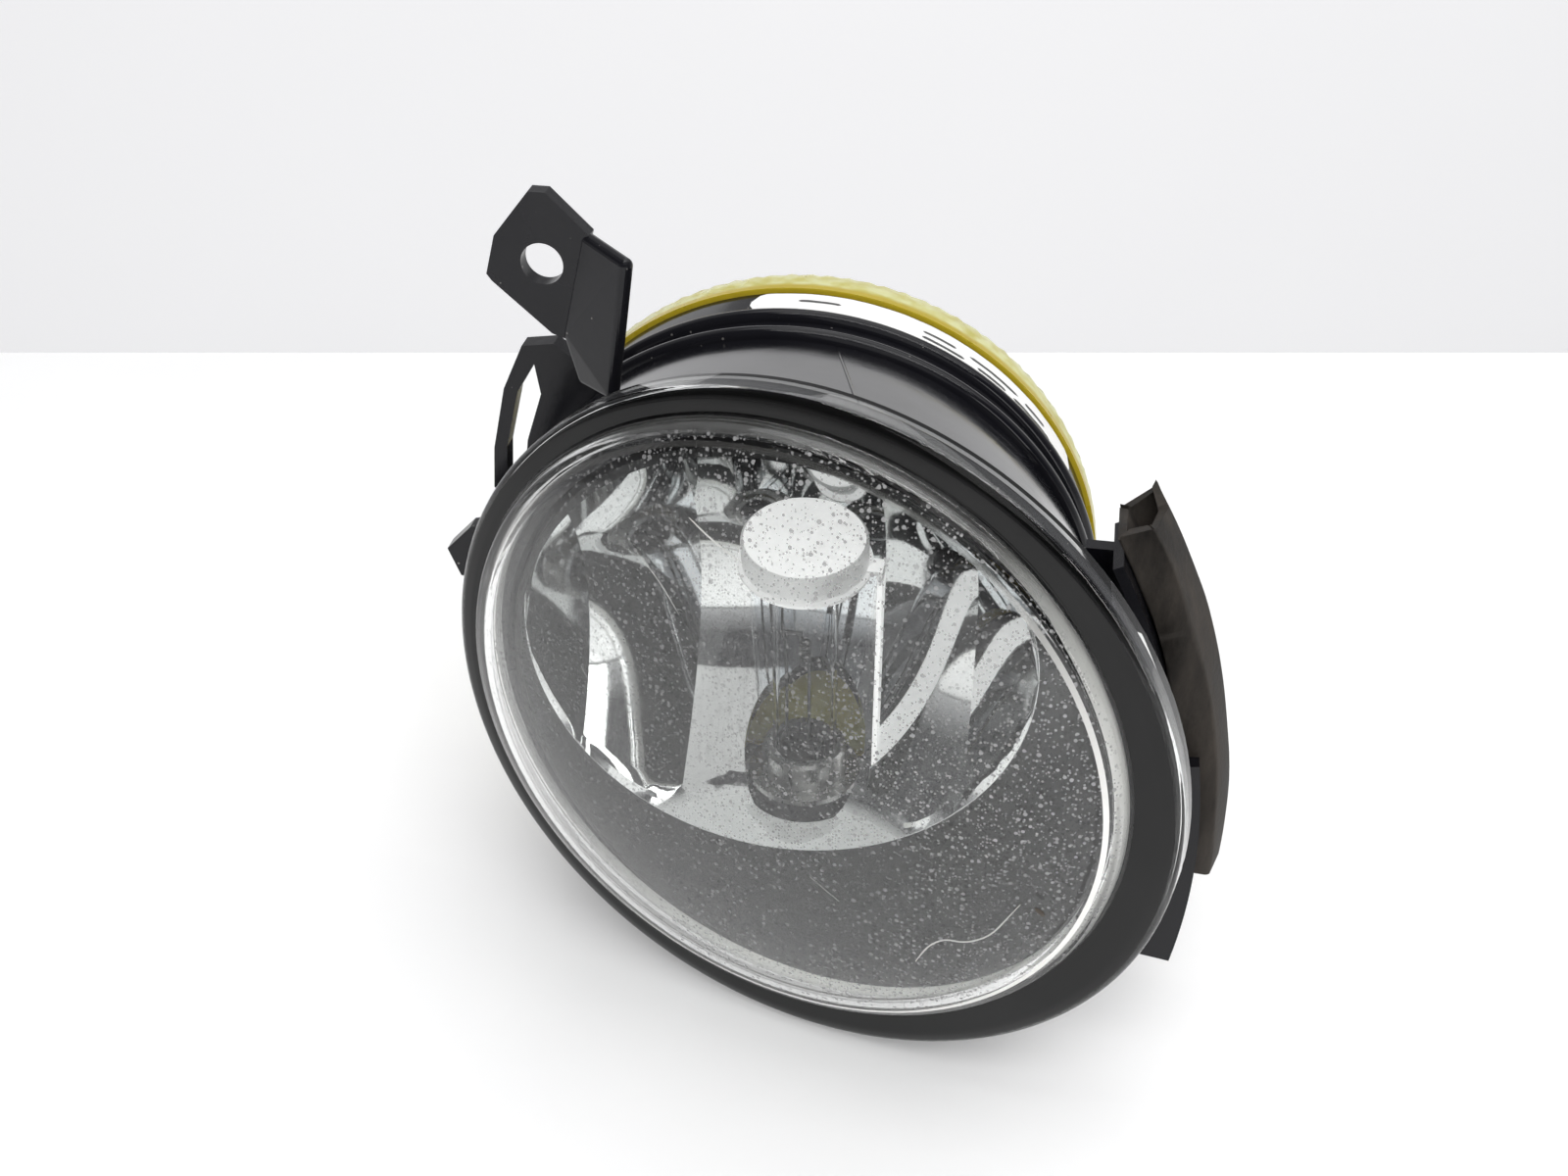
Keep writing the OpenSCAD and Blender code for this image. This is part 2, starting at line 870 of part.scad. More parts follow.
module adjuster_screw() {
    head_y = lug_rear_y + lug_thick + 0.3;
    root_r = adjuster_shaft_r - 0.5;
    thread_from = lug_front_y + lug_thick + 0.8;
    thread_turns = floor((lug_rear_y - thread_from - 0.8) / thread_pitch);
    color([0.6, 0.58, 0.5])
        at_adjuster()
            difference() {
                union() {
                    about_y(medium)
                        polygon(concat(
                            [
                                [0, lug_front_y - 4.5], [root_r, lug_front_y - 4.5],
                                [adjuster_shaft_r, lug_front_y - 4]
                            ],
                            [
                                [adjuster_shaft_r, lug_front_y - 2.6], [root_r, lug_front_y - 2.6],
                                [root_r, lug_front_y - 1.4], [adjuster_shaft_r, lug_front_y - 1.4]
                            ],
                            [[adjuster_shaft_r, thread_from]],
                            [for (i = [0:thread_turns - 1]) each [
                                [root_r, thread_from + (i + 0.35) * thread_pitch],
                                [adjuster_shaft_r, thread_from + (i + 0.7) * thread_pitch],
                                [adjuster_shaft_r, thread_from + (i + 1) * thread_pitch]
                            ]],
                            [
                                [adjuster_shaft_r, head_y], [5.2, head_y], [5.2, head_y + 1.2],
                                [0, head_y + 1.2]
                            ]
                        ));
                    translate([0, head_y, 0])
                        rotate([-90, 0, 0])
                            cylinder(r = 4.6, h = 5, $fn = 6);
                }
                for (turn = [0, 90])
                    rotate([0, turn, 0])
                        translate([-2.6, head_y + 3.2, -0.5])
                            cube([5.2, 3, 1]);
            }
}

module adjuster_clip() {
    color([0.5, 0.5, 0.52])
        at_adjuster()
            difference() {
                disc_y(4.6, lug_front_y - 2.4, lug_front_y - 1.6, medium);
                disc_y(adjuster_shaft_r - 0.45, lug_front_y - 3, lug_front_y, medium);
                translate([-0.8, lug_front_y - 3, 0])
                    cube([1.6, 3, 6]);
            }
}

module adjuster_slider() {
    color([0.82, 0.82, 0.78])
        at_adjuster()
            difference() {
                union() {
                    translate([-slider_w / 2, slider_y - slider_len / 2, -slider_w / 2])
                        cube([slider_w, slider_len, slider_w]);
                    translate([slider_w / 2 - 1, slider_y, 0])
                        rotate([0, 90, 0])
                            cylinder(r = 4.4, h = 4, $fn = medium);
                }
                disc_y(adjuster_shaft_r + running_gap, slider_y - 10, slider_y + 10, medium);
                translate([slider_w / 2 - 1.2, slider_y, 0])
                    rotate([0, 90, 0])
                        cylinder(r = stud_r - 0.8, h = 8, $fn = medium);
            }
}

module aim_stud() {
    start = slider_w / 2 + 3;
    color([0.62, 0.62, 0.64])
        at_adjuster()
            translate([0, slider_y, 0])
                rotate([0, 90, 0]) {
                    translate([0, 0, slider_w / 2 - 1])
                        cylinder(r = stud_r - 0.85, h = 4.5, $fn = medium);
                    translate([0, 0, start + 0.05])
                        cylinder(r = stud_r, h = stud_len, $fn = medium);
                }
}

lens();
lens_seal();
housing();
bezel();
reflector();
rear_cover();
cover_seal();
cover_screws();
bulb_shield();
shield_rivets();
bulb_socket();
bulb_base();
bulb_collar();
bulb_seal();
bulb_glass();
filament();
contact_pins();
screw_bracket();
loop_clip();
locating_tab();
side_flange();
seal_strip();
label();
breather_cap();
adjuster_screw();
adjuster_clip();
adjuster_slider();
aim_stud();
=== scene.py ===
"""Looks of a round front fog lamp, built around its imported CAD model.

Lengths in the tables below are in millimetres, in the part's own frame: the origin is the
centre of the lens rim, the lamp shines along -Y and +Z is up. Meshes are made in metres.
"""

import math

import bmesh
import bpy
from mathutils import Matrix, Vector, noise


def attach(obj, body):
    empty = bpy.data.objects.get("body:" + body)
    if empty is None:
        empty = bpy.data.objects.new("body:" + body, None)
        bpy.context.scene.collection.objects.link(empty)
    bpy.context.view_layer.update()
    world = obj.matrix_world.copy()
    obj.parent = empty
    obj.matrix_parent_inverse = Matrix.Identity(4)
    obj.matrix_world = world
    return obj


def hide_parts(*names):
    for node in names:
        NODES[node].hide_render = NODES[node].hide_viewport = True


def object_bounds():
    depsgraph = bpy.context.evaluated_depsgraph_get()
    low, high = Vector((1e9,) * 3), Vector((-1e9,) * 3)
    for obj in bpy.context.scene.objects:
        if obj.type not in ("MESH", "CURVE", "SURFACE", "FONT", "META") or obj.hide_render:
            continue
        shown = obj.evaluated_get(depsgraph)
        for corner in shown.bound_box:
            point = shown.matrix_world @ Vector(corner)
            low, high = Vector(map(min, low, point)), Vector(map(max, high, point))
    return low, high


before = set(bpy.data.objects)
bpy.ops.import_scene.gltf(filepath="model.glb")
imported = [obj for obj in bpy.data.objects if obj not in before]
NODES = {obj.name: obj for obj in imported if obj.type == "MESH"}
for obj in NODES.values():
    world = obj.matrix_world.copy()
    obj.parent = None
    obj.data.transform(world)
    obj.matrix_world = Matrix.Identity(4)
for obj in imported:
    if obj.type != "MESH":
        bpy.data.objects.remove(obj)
CAD_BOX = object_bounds()

# ---------- sizes shared by the pieces, as in the CAD source ----------

MM = 0.001
SIDES = 256
RAKE = math.radians(15)
DRUM_X = -6.5
LENS_R = 59.0
FLANGE_R = 57.55
FLANGE_INNER_R = 50.6
FLANGE_FRONT, FLANGE_BACK = 1.1, 3.3
DOME_SHIFT = (-1.0, 2.4)
DOME_R = 52.6
DOME_EDGE = 5.2
DOME_HEIGHT = 12.5
LENS_WALL = 2.2
DRUM_R = 48.6
DRUM_WALL = 2.4
DRUM_BACK = 53.5
RIDGE_YS = (37.8, 44.0)
RIDGE_R = 1.5
REFLECTOR_R = 42.5
REFLECTOR_Y = 23.0
FOCAL = 15.0
BOWL_APEX = REFLECTOR_Y + REFLECTOR_R**2 / (4 * FOCAL)
BULB_X, BULB_Y = -4.0, 36.0
COVER_R = 49.3
COVER_FRONT, COVER_BEND, COVER_DEPTH = 53.7, 57.0, 22.0
COVER_WALL = 2.2
COVER_LIP_R = 45.9
EAR_ANGLES = (195, 240, 345)
EAR_R = 3.9
EAR_OUT = COVER_R + 2.4
ADJUSTER_ANGLE = -62
ADJUSTER_OUT = 58.5
LUG_FRONTS = (21.0, 45.0)
LUG_THICK = 3.2
BULB_HOLE_R = 10.7
SOCKET_HOLE_R = 15.55
STRIP_CENTRE = (-62.0, -24.0)
FLOOR_Z = CAD_BOX[0].z


# ---------- mesh helpers ----------


def rim_plane(point):
    """A point given in the swept-back plane of the rim, moved to the lamp's frame."""
    x, y, z = point
    c, s = math.cos(RAKE), math.sin(RAKE)
    return Vector((x * c + y * s, y * c - x * s, z))


def ring(radius, depth, centre=(0.0, 0.0), swept=False, sides=SIDES):
    """Points round a circle about Y, from +X towards +Z, in millimetres."""
    points = []
    for i in range(sides):
        a = 2 * math.pi * i / sides
        p = Vector((centre[0] + radius * math.cos(a), depth, centre[1] + radius * math.sin(a)))
        points.append(rim_plane(p) if swept else p)
    return points


def drum_ring(radius, depth):
    """A ring of points about the drum's axis."""
    return ring(radius, depth, (DRUM_X, 0.0))


def between(first, second, share):
    """A ring part of the way from one ring to another."""
    return [a.lerp(b, share) for a, b in zip(first, second)]


def soften(points, cut, steps=4, closed=False):
    """A line of points with its corners rounded off, cut from each side of a corner."""
    points = [Vector(p) for p in points]
    last = len(points) - 1
    out = []
    for i, p in enumerate(points):
        if not closed and i in (0, last):
            out.append(p)
            continue
        before, after = points[i - 1], points[(i + 1) % len(points)]
        a = p + (before - p) * min(cut / (before - p).length, 0.45)
        b = p + (after - p) * min(cut / (after - p).length, 0.45)
        for k in range(steps + 1):
            t = k / steps
            out.append(a * (1 - t) ** 2 + p * 2 * t * (1 - t) + b * t * t)
    return out


def new_object(name, vertices, faces, sharp_angle=40):
    """An object from points in millimetres, smooth except across sharp edges."""
    mesh = bpy.data.meshes.new(name)
    mesh.from_pydata([Vector(v) * MM for v in vertices], [], faces)
    obj = bpy.data.objects.new(name, mesh)
    bpy.context.scene.collection.objects.link(obj)
    tidy_mesh(mesh, sharp_angle)
    return obj


def tidy_mesh(mesh, sharp_angle):
    """Merges doubled points, turns all faces outward and shades the mesh smooth."""
    bm = bmesh.new()
    bm.from_mesh(mesh)
    bmesh.ops.remove_doubles(bm, verts=bm.verts, dist=2e-6)
    bmesh.ops.dissolve_degenerate(bm, edges=bm.edges, dist=1e-6)
    bmesh.ops.recalc_face_normals(bm, faces=bm.faces)
    bm.to_mesh(mesh)
    bm.free()
    mesh.shade_smooth()
    mesh.set_sharp_from_angle(angle=math.radians(sharp_angle))


def loft(name, rings, loop=False, poles=(None, None), sharp_angle=40):
    """A surface through rings of points. A pole closes an end with a fan."""
    count = len(rings[0])
    vertices = [p for r in rings for p in r]
    faces = []
    for i in range(len(rings) if loop else len(rings) - 1):
        j = (i + 1) % len(rings)
        for k in range(count):
            n = (k + 1) % count
            faces.append((i * count + k, i * count + n, j * count + n, j * count + k))
    for pole, start in zip(poles, (0, (len(rings) - 1) * count)):
        if pole is not None:
            tip = len(vertices)
            vertices.append(Vector(pole))
            faces += [(start + k, start + (k + 1) % count, tip) for k in range(count)]
    return new_object(name, vertices, faces, sharp_angle)


def lathe(name, profile, centre, along="y", sides=SIDES, sharp_angle=40):
    """A closed solid turned from a loop of (radius, position) points."""
    rings = []
    for radius, at in profile:
        if along == "y":
            rings.append(ring(max(radius, 0.001), at, centre, sides=sides))
        else:
            turned = ring(max(radius, 0.001), 0, (0, 0), sides=sides)
            rings.append([Vector((centre[0] + p.x, centre[1] - p.z, at)) for p in turned])
    return loft(name, rings, loop=True, sharp_angle=sharp_angle)


def cut_away(obj, cutter, sharp_angle=40):
    """Takes the cutter's volume out of obj, and throws the cutter away."""
    modifier = obj.modifiers.new("cut", "BOOLEAN")
    modifier.operation = "DIFFERENCE"
    modifier.object = cutter
    modifier.solver = "EXACT"
    bpy.context.view_layer.update()
    evaluated = obj.evaluated_get(bpy.context.evaluated_depsgraph_get())
    mesh = bpy.data.meshes.new_from_object(evaluated)
    obj.modifiers.clear()
    obj.data = mesh
    bpy.data.objects.remove(cutter)
    tidy_mesh(mesh, sharp_angle)


def join_meshes(obj, others, sharp_angle=40):
    """Adds other objects' meshes to obj, as one piece."""
    bm = bmesh.new()
    bm.from_mesh(obj.data)
    for other in others:
        bm.from_mesh(other.data)
        bpy.data.objects.remove(other)
    bm.to_mesh(obj.data)
    bm.free()
    tidy_mesh(obj.data, sharp_angle)


def bevel_node(name, width=0.25, segments=2):
    """Breaks the sharp edges of a CAD node that stays in view."""
    obj = NODES[name]
    modifier = obj.modifiers.new("edge", "BEVEL")
    modifier.width = width * MM
    modifier.segments = segments
    modifier.limit_method = "ANGLE"
    modifier.angle_limit = math.radians(50)
    modifier.harden_normals = True


def place(obj, body, materials, replaces=()):
    """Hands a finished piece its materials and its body."""
    for m in materials if isinstance(materials, (list, tuple)) else [materials]:
        obj.data.materials.append(m)
    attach(obj, body)
    if replaces:
        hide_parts(*replaces)
    return obj


# ---------- material helpers ----------


class Shader:
    """A material's node tree, with short ways to add and join nodes."""

    def __init__(self, name, **inputs):
        self.material = bpy.data.materials.new(name)
        self.material.use_nodes = True
        self.tree = self.material.node_tree
        self.surface = self.tree.nodes["Principled BSDF"]
        self.output = self.tree.nodes["Material Output"]
        for key, value in inputs.items():
            socket = self.surface.inputs[key.replace("_", " ")]
            socket.default_value = value
        self.place = self.tree.nodes.new("ShaderNodeTexCoord").outputs["Object"]

    def node(self, kind, **settings):
        node = self.tree.nodes.new("ShaderNode" + kind)
        for key, value in settings.items():
            setattr(node, key, value)
        return node

    def link(self, source, target):
        self.tree.links.new(source, target)

    def feed(self, socket, value):
        """Links an output to a socket, or sets the socket to a number or colour."""
        if isinstance(value, bpy.types.NodeSocket):
            self.link(value, socket)
        else:
            socket.default_value = value

    def stretched(self, factors):
        """The piece's own coordinates, scaled along each axis."""
        node = self.node("Mapping")
        node.inputs["Scale"].default_value = factors
        self.link(self.place, node.inputs["Vector"])
        return node.outputs["Vector"]

    def noise(self, size, detail=4.0, roughness=0.6, where=None):
        """Soft noise whose features are about size millimetres wide."""
        node = self.node("TexNoise")
        node.inputs["Scale"].default_value = 1000 / size
        node.inputs["Detail"].default_value = detail
        node.inputs["Roughness"].default_value = roughness
        self.link(where or self.place, node.inputs["Vector"])
        return node.outputs["Fac"]

    def specks(self, spacing, size, spread=0.9):
        """Round specks about size millimetres wide, no two alike, as a 0 to 1 mask."""
        node = self.node("TexVoronoi")
        node.inputs["Scale"].default_value = 1000 / spacing
        node.inputs["Randomness"].default_value = 1.0
        self.link(self.place, node.inputs["Vector"])
        chance = self.node("SeparateColor")
        self.link(node.outputs["Color"], chance.inputs["Color"])
        limit = self.span(chance.outputs["Red"], 1 - spread, 1, 0, size / spacing / 2)
        edge = self.maths("SUBTRACT", limit, node.outputs["Distance"])
        return self.span(edge, 0, 0.04, 0, 1)

    def span(self, value, low, high, to_low=0.0, to_high=1.0):
        """value moved from one range to another, held at the ends."""
        node = self.node("MapRange")
        node.clamp = True
        for key, number in (
            ("From Min", low),
            ("From Max", high),
            ("To Min", to_low),
            ("To Max", to_high),
        ):
            self.feed(node.inputs[key], number)
        self.feed(node.inputs["Value"], value)
        return node.outputs["Result"]

    def maths(self, operation, first, second=0.0):
        node = self.node("Math", operation=operation)
        self.feed(node.inputs[0], first)
        self.feed(node.inputs[1], second)
        return node.outputs[0]

    def axis(self, name):
        """One of the piece's own coordinates, in metres."""
        node = self.node("SeparateXYZ")
        self.link(self.place, node.inputs[0])
        return node.outputs[name]

    def mix_surfaces(self, share, first, second):
        """A surface part of the way from the first to the second."""
        node = self.node("MixShader")
        self.link(share, node.inputs[0])
        self.link(first, node.inputs[1])
        self.link(second, node.inputs[2])
        return node.outputs[0]

    def pass_light(self, tint=(1, 1, 1, 1)):
        """The surface, but clear to shadow rays, so that light reaches what is behind it."""
        clear = self.node("BsdfTransparent")
        clear.inputs["Color"].default_value = tint
        is_shadow = self.node("LightPath").outputs["Is Shadow Ray"]
        return self.mix_surfaces(is_shadow, self.surface.outputs[0], clear.outputs[0])

    def mix(self, share, first, second):
        """A colour part of the way from the first to the second."""
        node = self.node("Mix", data_type="RGBA")
        self.feed(node.inputs["Factor"], share)
        self.feed(node.inputs[6], first)
        self.feed(node.inputs[7], second)
        return node.outputs[2]

    def colour(self, value):
        self.feed(self.surface.inputs["Base Color"], value)

    def roughness(self, value):
        self.feed(self.surface.inputs["Roughness"], value)

    def bump(self, height, depth, strength=1.0):
        """Raises the surface by height, a 0 to 1 value, times depth in millimetres."""
        node = self.node("Bump")
        node.inputs["Strength"].default_value = strength
        node.inputs["Distance"].default_value = depth * MM
        self.link(height, node.inputs["Height"])
        self.link(node.outputs["Normal"], self.surface.inputs["Normal"])
        return node


def grey(level):
    return (level, level, level, 1.0)


# ---------- materials ----------


def clear_plastic(name, dusty):
    """Clear moulded plastic that lets the lamps' light through, dusty on its outside."""
    s = Shader(
        name,
        Base_Color=(0.985, 0.995, 0.985, 1),
        Roughness=0.015,
        IOR=1.5,
        Transmission_Weight=1.0,
    )
    surface = s.pass_light((0.95, 0.96, 0.955, 1))
    if dusty:
        dust = s.node("BsdfDiffuse")
        s.feed(dust.inputs["Color"], s.mix(s.noise(4), grey(0.2), grey(0.35)))
        surface = s.mix_surfaces(dust_mask(s), surface, dust.outputs[0])
    s.link(surface, s.output.inputs["Surface"])
    return s.material


def dust_mask(s):
    """Where dust hides the lens: fine and coarse specks, and a film low on the left."""
    fine = s.specks(0.48, 0.48)
    coarse = s.specks(0.95, 0.8, 0.8)
    patches = s.span(s.noise(22, 2), 0.35, 0.6, 0.5, 1)
    right = s.span(s.axis("X"), -0.045, 0.01, 0.4, 1)
    specks = s.maths("MAXIMUM", s.maths("MULTIPLY", fine, 0.75), coarse)
    specks = s.maths("MULTIPLY", specks, s.maths("MULTIPLY", patches, right))
    low = s.span(s.axis("Z"), 0.01, -0.052, 0, 1)
    left = s.span(s.axis("X"), 0.05, -0.05, 0.3, 1)
    film = s.span(s.noise(30, 3), 0.3, 0.7, 0.12, 0.2)
    film = s.maths("MULTIPLY", s.maths("MULTIPLY", low, left), film)
    film = s.maths("ADD", film, 0.015)
    on_dome = s.span(dome_distance(s), DOME_R * MM, (DOME_R - 1) * MM, 0, 1)
    return s.maths("MULTIPLY", s.maths("MAXIMUM", specks, film), on_dome)


def dome_distance(s):
    """Distance from the dome's own centre, measured in the plane of the rim."""
    along_x = s.maths("MULTIPLY", s.axis("X"), math.cos(RAKE))
    along_y = s.maths("MULTIPLY", s.axis("Y"), math.sin(RAKE))
    across = s.maths("SUBTRACT", s.maths("SUBTRACT", along_x, along_y), DOME_SHIFT[0] * MM)
    up = s.maths("SUBTRACT", s.axis("Z"), DOME_SHIFT[1] * MM)
    squares = s.maths("ADD", s.maths("MULTIPLY", across, across), s.maths("MULTIPLY", up, up))
    return s.maths("SQRT", squares)


def step_plastic():
    """Clear plastic of the dome's step, whitened low on the right by caught light."""
    s = Shader("lens_step", IOR=1.5, Roughness=0.2)
    s.colour(s.mix(s.noise(5, 4), (0.85, 0.84, 0.8, 1), (0.97, 0.97, 0.95, 1)))
    low_right = s.maths("SUBTRACT", s.axis("X"), s.axis("Z"))
    s.feed(s.surface.inputs["Transmission Weight"], s.span(low_right, -0.02, 0.04, 0.97, 0.1))
    s.bump(s.noise(1.5, 3), 0.02)
    return s.material


def rim_plastic():
    """Gloss black of the rim's flat, where the lens is bonded to the black housing."""
    s = Shader("rim_black", Specular_IOR_Level=0.3)
    s.colour(s.mix(s.noise(12, 3), grey(0.002), grey(0.01)))
    s.roughness(s.span(s.noise(9, 3), 0.3, 0.7, 0.03, 0.1))
    return s.material


def black_plastic(name, gloss, grain, dust=0.5):
    """Black moulded plastic: a gloss from 0 to 1, a fine grain, and settled dust."""
    s = Shader(name, Specular_IOR_Level=0.3)
    smudges = s.noise(18, 5)
    settled = s.maths("MULTIPLY", s.specks(1.6, 0.5, 0.4), dust)
    film = s.span(smudges, 0.4, 0.75, 0, 0.03 * dust)
    s.colour(s.mix(s.maths("ADD", settled, film), (0.006, 0.006, 0.008, 1), (0.3, 0.29, 0.27, 1)))
    rough = 0.5 - 0.44 * gloss
    s.roughness(s.span(smudges, 0.3, 0.75, rough, rough + 0.1))
    s.bump(s.noise(grain, 3), 0.03)
    return s.material


def bezel_plastic():
    """Matt black plastic with a fine moulded grain."""
    s = Shader("bezel_grain", Specular_IOR_Level=0.3)
    s.colour(s.mix(s.noise(9, 5), grey(0.007), grey(0.014)))
    s.roughness(s.span(s.noise(14, 3), 0.3, 0.7, 0.34, 0.48))
    s.bump(s.noise(0.5, 2), 0.02)
    return s.material


def mirror_coat():
    """Vacuum-coated reflector: bright metal with pinholes, duller on its lower lip."""
    s = Shader("mirror_coat")
    bowl = s.span(s.axis("Z"), -0.0375, -0.0352)
    s.feed(s.surface.inputs["Metallic"], s.span(bowl, 0, 1, 0.1, 1))
    s.colour(s.mix(s.specks(3.1, 0.5, 0.4), (0.86, 0.87, 0.87, 1), (0.36, 0.36, 0.35, 1)))
    haze = s.span(s.noise(16, 4), 0.35, 0.75, 0.02, 0.09)
    s.roughness(s.maths("ADD", haze, s.span(bowl, 0, 1, 0.3, 0)))
    s.bump(s.noise(7, 2), 0.012)
    return s.material


def amber_plastic():
    """Translucent amber plastic, deeper at its flange, with paler cells next to it."""
    s = Shader("amber_plastic", Subsurface_Weight=0.25, Subsurface_Scale=0.004)
    s.surface.inputs["Subsurface Radius"].default_value = (1.0, 0.92, 0.4)
    cells = s.noise(2.6, 2, 0.4)
    near_edge = s.span(s.axis("Y"), 0.07, 0.06, 0.12, 1)
    paler = s.maths("MULTIPLY", s.span(cells, 0.35, 0.65), near_edge)
    body = s.mix(paler, (0.46, 0.42, 0.1, 1), (0.58, 0.58, 0.3, 1))
    edge = s.span(s.axis("Y"), 0.0547, 0.0556)
    s.colour(s.mix(edge, (0.42, 0.32, 0.02, 1), body))
    s.roughness(s.span(s.noise(12, 3), 0.3, 0.7, 0.22, 0.38))
    s.bump(cells, 0.12)
    return s.material


def old_rubber():
    """Dry black rubber, streaked along its length with grey-brown dust."""
    s = Shader("old_rubber", Specular_IOR_Level=0.3)
    streaks = s.noise(7, 6, 0.7, s.stretched((1.0, 1.0, 0.22)))
    s.colour(s.mix(s.span(streaks, 0.35, 0.72), (0.012, 0.011, 0.01, 1), (0.06, 0.051, 0.043, 1)))
    s.roughness(s.span(streaks, 0.3, 0.7, 0.55, 0.85))
    s.bump(s.noise(1.1, 5), 0.12)
    return s.material


def soft_rubber(name, colour):
    """Soft matt material in one colour, mottled and finely uneven."""
    s = Shader(name, Specular_IOR_Level=0.35)
    dark = tuple(c * 0.6 for c in colour[:3]) + (1,)
    s.colour(s.mix(s.noise(2.5, 4), dark, colour))
    s.roughness(s.span(s.noise(4, 3), 0.3, 0.7, 0.45, 0.7))
    s.bump(s.noise(0.7, 3), 0.04)
    return s.material


def plain_metal(name, colour, rough, brushed=(1, 1, 1)):
    """Sheet metal or plating with a drawn grain and faint tarnish."""
    s = Shader(name, Metallic=1.0)
    grain = s.noise(1.2, 4, 0.6, s.stretched(brushed))
    tarnish = tuple(c * 0.62 for c in colour[:3]) + (1,)
    s.colour(s.mix(s.span(s.noise(6, 5), 0.45, 0.8), colour, tarnish))
    s.roughness(s.span(grain, 0.3, 0.7, rough, rough + 0.15))
    s.bump(grain, 0.015)
    return s.material


def shield_metal():
    """Pale satin metal peppered with dust.

    The disc and the leg glow a little, in place of the bright ceiling that they mirror.
    """
    s = Shader("shield_metal", Metallic=0.12, Specular_IOR_Level=0.5)
    s.surface.inputs["Emission Color"].default_value = (1, 1, 1, 1)
    facing = s.node("SeparateXYZ")
    s.link(s.node("NewGeometry").outputs["Normal"], facing.inputs[0])
    disc = s.span(facing.outputs["Z"], 0.8, 0.95, 0.06, 0.5)
    leg = s.span(s.axis("Z"), 0.009, 0.0075, 0, 0.5)
    s.feed(s.surface.inputs["Emission Strength"], s.maths("MAXIMUM", disc, leg))
    s.colour(s.mix(s.specks(1.5, 0.5, 0.6), (0.96, 0.96, 0.96, 1), (0.2, 0.2, 0.19, 1)))
    s.roughness(s.span(s.noise(5, 4), 0.3, 0.7, 0.3, 0.45))
    s.bump(s.noise(1.0, 3), 0.02)
    return s.material


def bulb_glass():
    """Clear thin glass, with a low index so that what is inside stays in sight."""
    s = Shader("bulb_glass", Base_Color=(0.97, 0.985, 1, 1), IOR=1.05, Transmission_Weight=1.0)
    s.roughness(s.span(s.noise(3, 3), 0.3, 0.7, 0.0, 0.05))
    s.link(s.pass_light(), s.output.inputs["Surface"])
    return s.material


def label_film():
    """White label film, scuffed and slightly uneven."""
    s = Shader("label_film", Specular_IOR_Level=0.5)
    scuffs = s.span(s.noise(3.5, 6, 0.75), 0.62, 0.7)
    s.colour(s.mix(s.maths("MULTIPLY", scuffs, 0.5), (0.84, 0.84, 0.83, 1), (0.4, 0.4, 0.39, 1)))
    s.roughness(s.span(s.noise(6, 3), 0.3, 0.7, 0.3, 0.5))
    s.bump(s.noise(2.2, 3), 0.05)
    return s.material


def label_ink():
    """Worn dark ink of the plain bars that stand in for print."""
    s = Shader("label_ink", Specular_IOR_Level=0.4)
    s.colour(s.mix(s.noise(0.8, 4), grey(0.02), grey(0.12)))
    s.roughness(s.span(s.noise(2, 3), 0.3, 0.7, 0.4, 0.6))
    return s.material


def nylon():
    """Natural nylon, off-white and slightly translucent."""
    s = Shader("nylon", Subsurface_Weight=0.1, Subsurface_Scale=0.002)
    s.colour(s.mix(s.noise(5, 4), (0.62, 0.62, 0.57, 1), (0.74, 0.74, 0.7, 1)))
    s.roughness(s.span(s.noise(3, 3), 0.3, 0.7, 0.35, 0.5))
    s.bump(s.noise(0.8, 3), 0.03)
    return s.material


LENS_OUTER = clear_plastic("lens_outside", True)
LENS_INNER = clear_plastic("lens_inside", False)
LENS_STEP = step_plastic()
RIM_BLACK = rim_plastic()
BLACK_GLOSS = black_plastic("black_gloss", 0.98, 9, 0.3)
BLACK_SATIN = black_plastic("black_satin", 0.75, 2.5)
BLACK_DULL = black_plastic("black_dull", 0.2, 0.9)
BEZEL = bezel_plastic()
MIRROR = mirror_coat()
AMBER = amber_plastic()
RUBBER = old_rubber()
SEAL_BLACK = soft_rubber("seal_black", (0.03, 0.03, 0.03, 1))
SEAL_GREEN = soft_rubber("seal_green", (0.02, 0.12, 0.06, 1))
STEEL = plain_metal("screw_steel", (0.55, 0.55, 0.56, 1), 0.28)
ZINC = plain_metal("zinc_plate", (0.6, 0.57, 0.48, 1), 0.3, (1, 0.2, 1))
TINNED = plain_metal("tinned", (0.75, 0.73, 0.68, 1), 0.22)
COLLAR = plain_metal("collar_metal", (0.66, 0.66, 0.65, 1), 0.22, (1, 1, 0.2))
TUNGSTEN = plain_metal("tungsten", (0.1, 0.1, 0.1, 1), 0.35)
SHIELD = shield_metal()
GLASS = bulb_glass()
DIRT = soft_rubber("dirt", (0.09, 0.075, 0.06, 1))
LINT = soft_rubber("lint", (0.6, 0.6, 0.58, 1))
LABEL = label_film()
INK = label_ink()
NYLON = nylon()


# ---------- lens ----------


def dome_rise(a):
    """Share of the dome's height at an angle of 0 to 90 degrees, steep at first."""
    return math.sin(a) ** 2 / (0.35 + 0.65 * math.sin(a))


def dome_curve(radius, back, steps=44):
    """Points from the dome's edge to near its top; the third number is its shift."""
    points = []
    for i in range(steps):
        a = math.pi / 2 * (i / steps) ** 1.25
        depth = back - DOME_EDGE - (DOME_HEIGHT - DOME_EDGE) * dome_rise(a)
        points.append((radius * math.cos(a), depth, 1.0))
    return points


def lens_ring(point):
    """A ring of the lens; a shift of 1 centres it on the dome, 0 on the rim."""
    radius, depth, shift = point
    centre = (DOME_SHIFT[0] * shift, DOME_SHIFT[1] * shift)
    return ring(radius, depth, centre, swept=True)


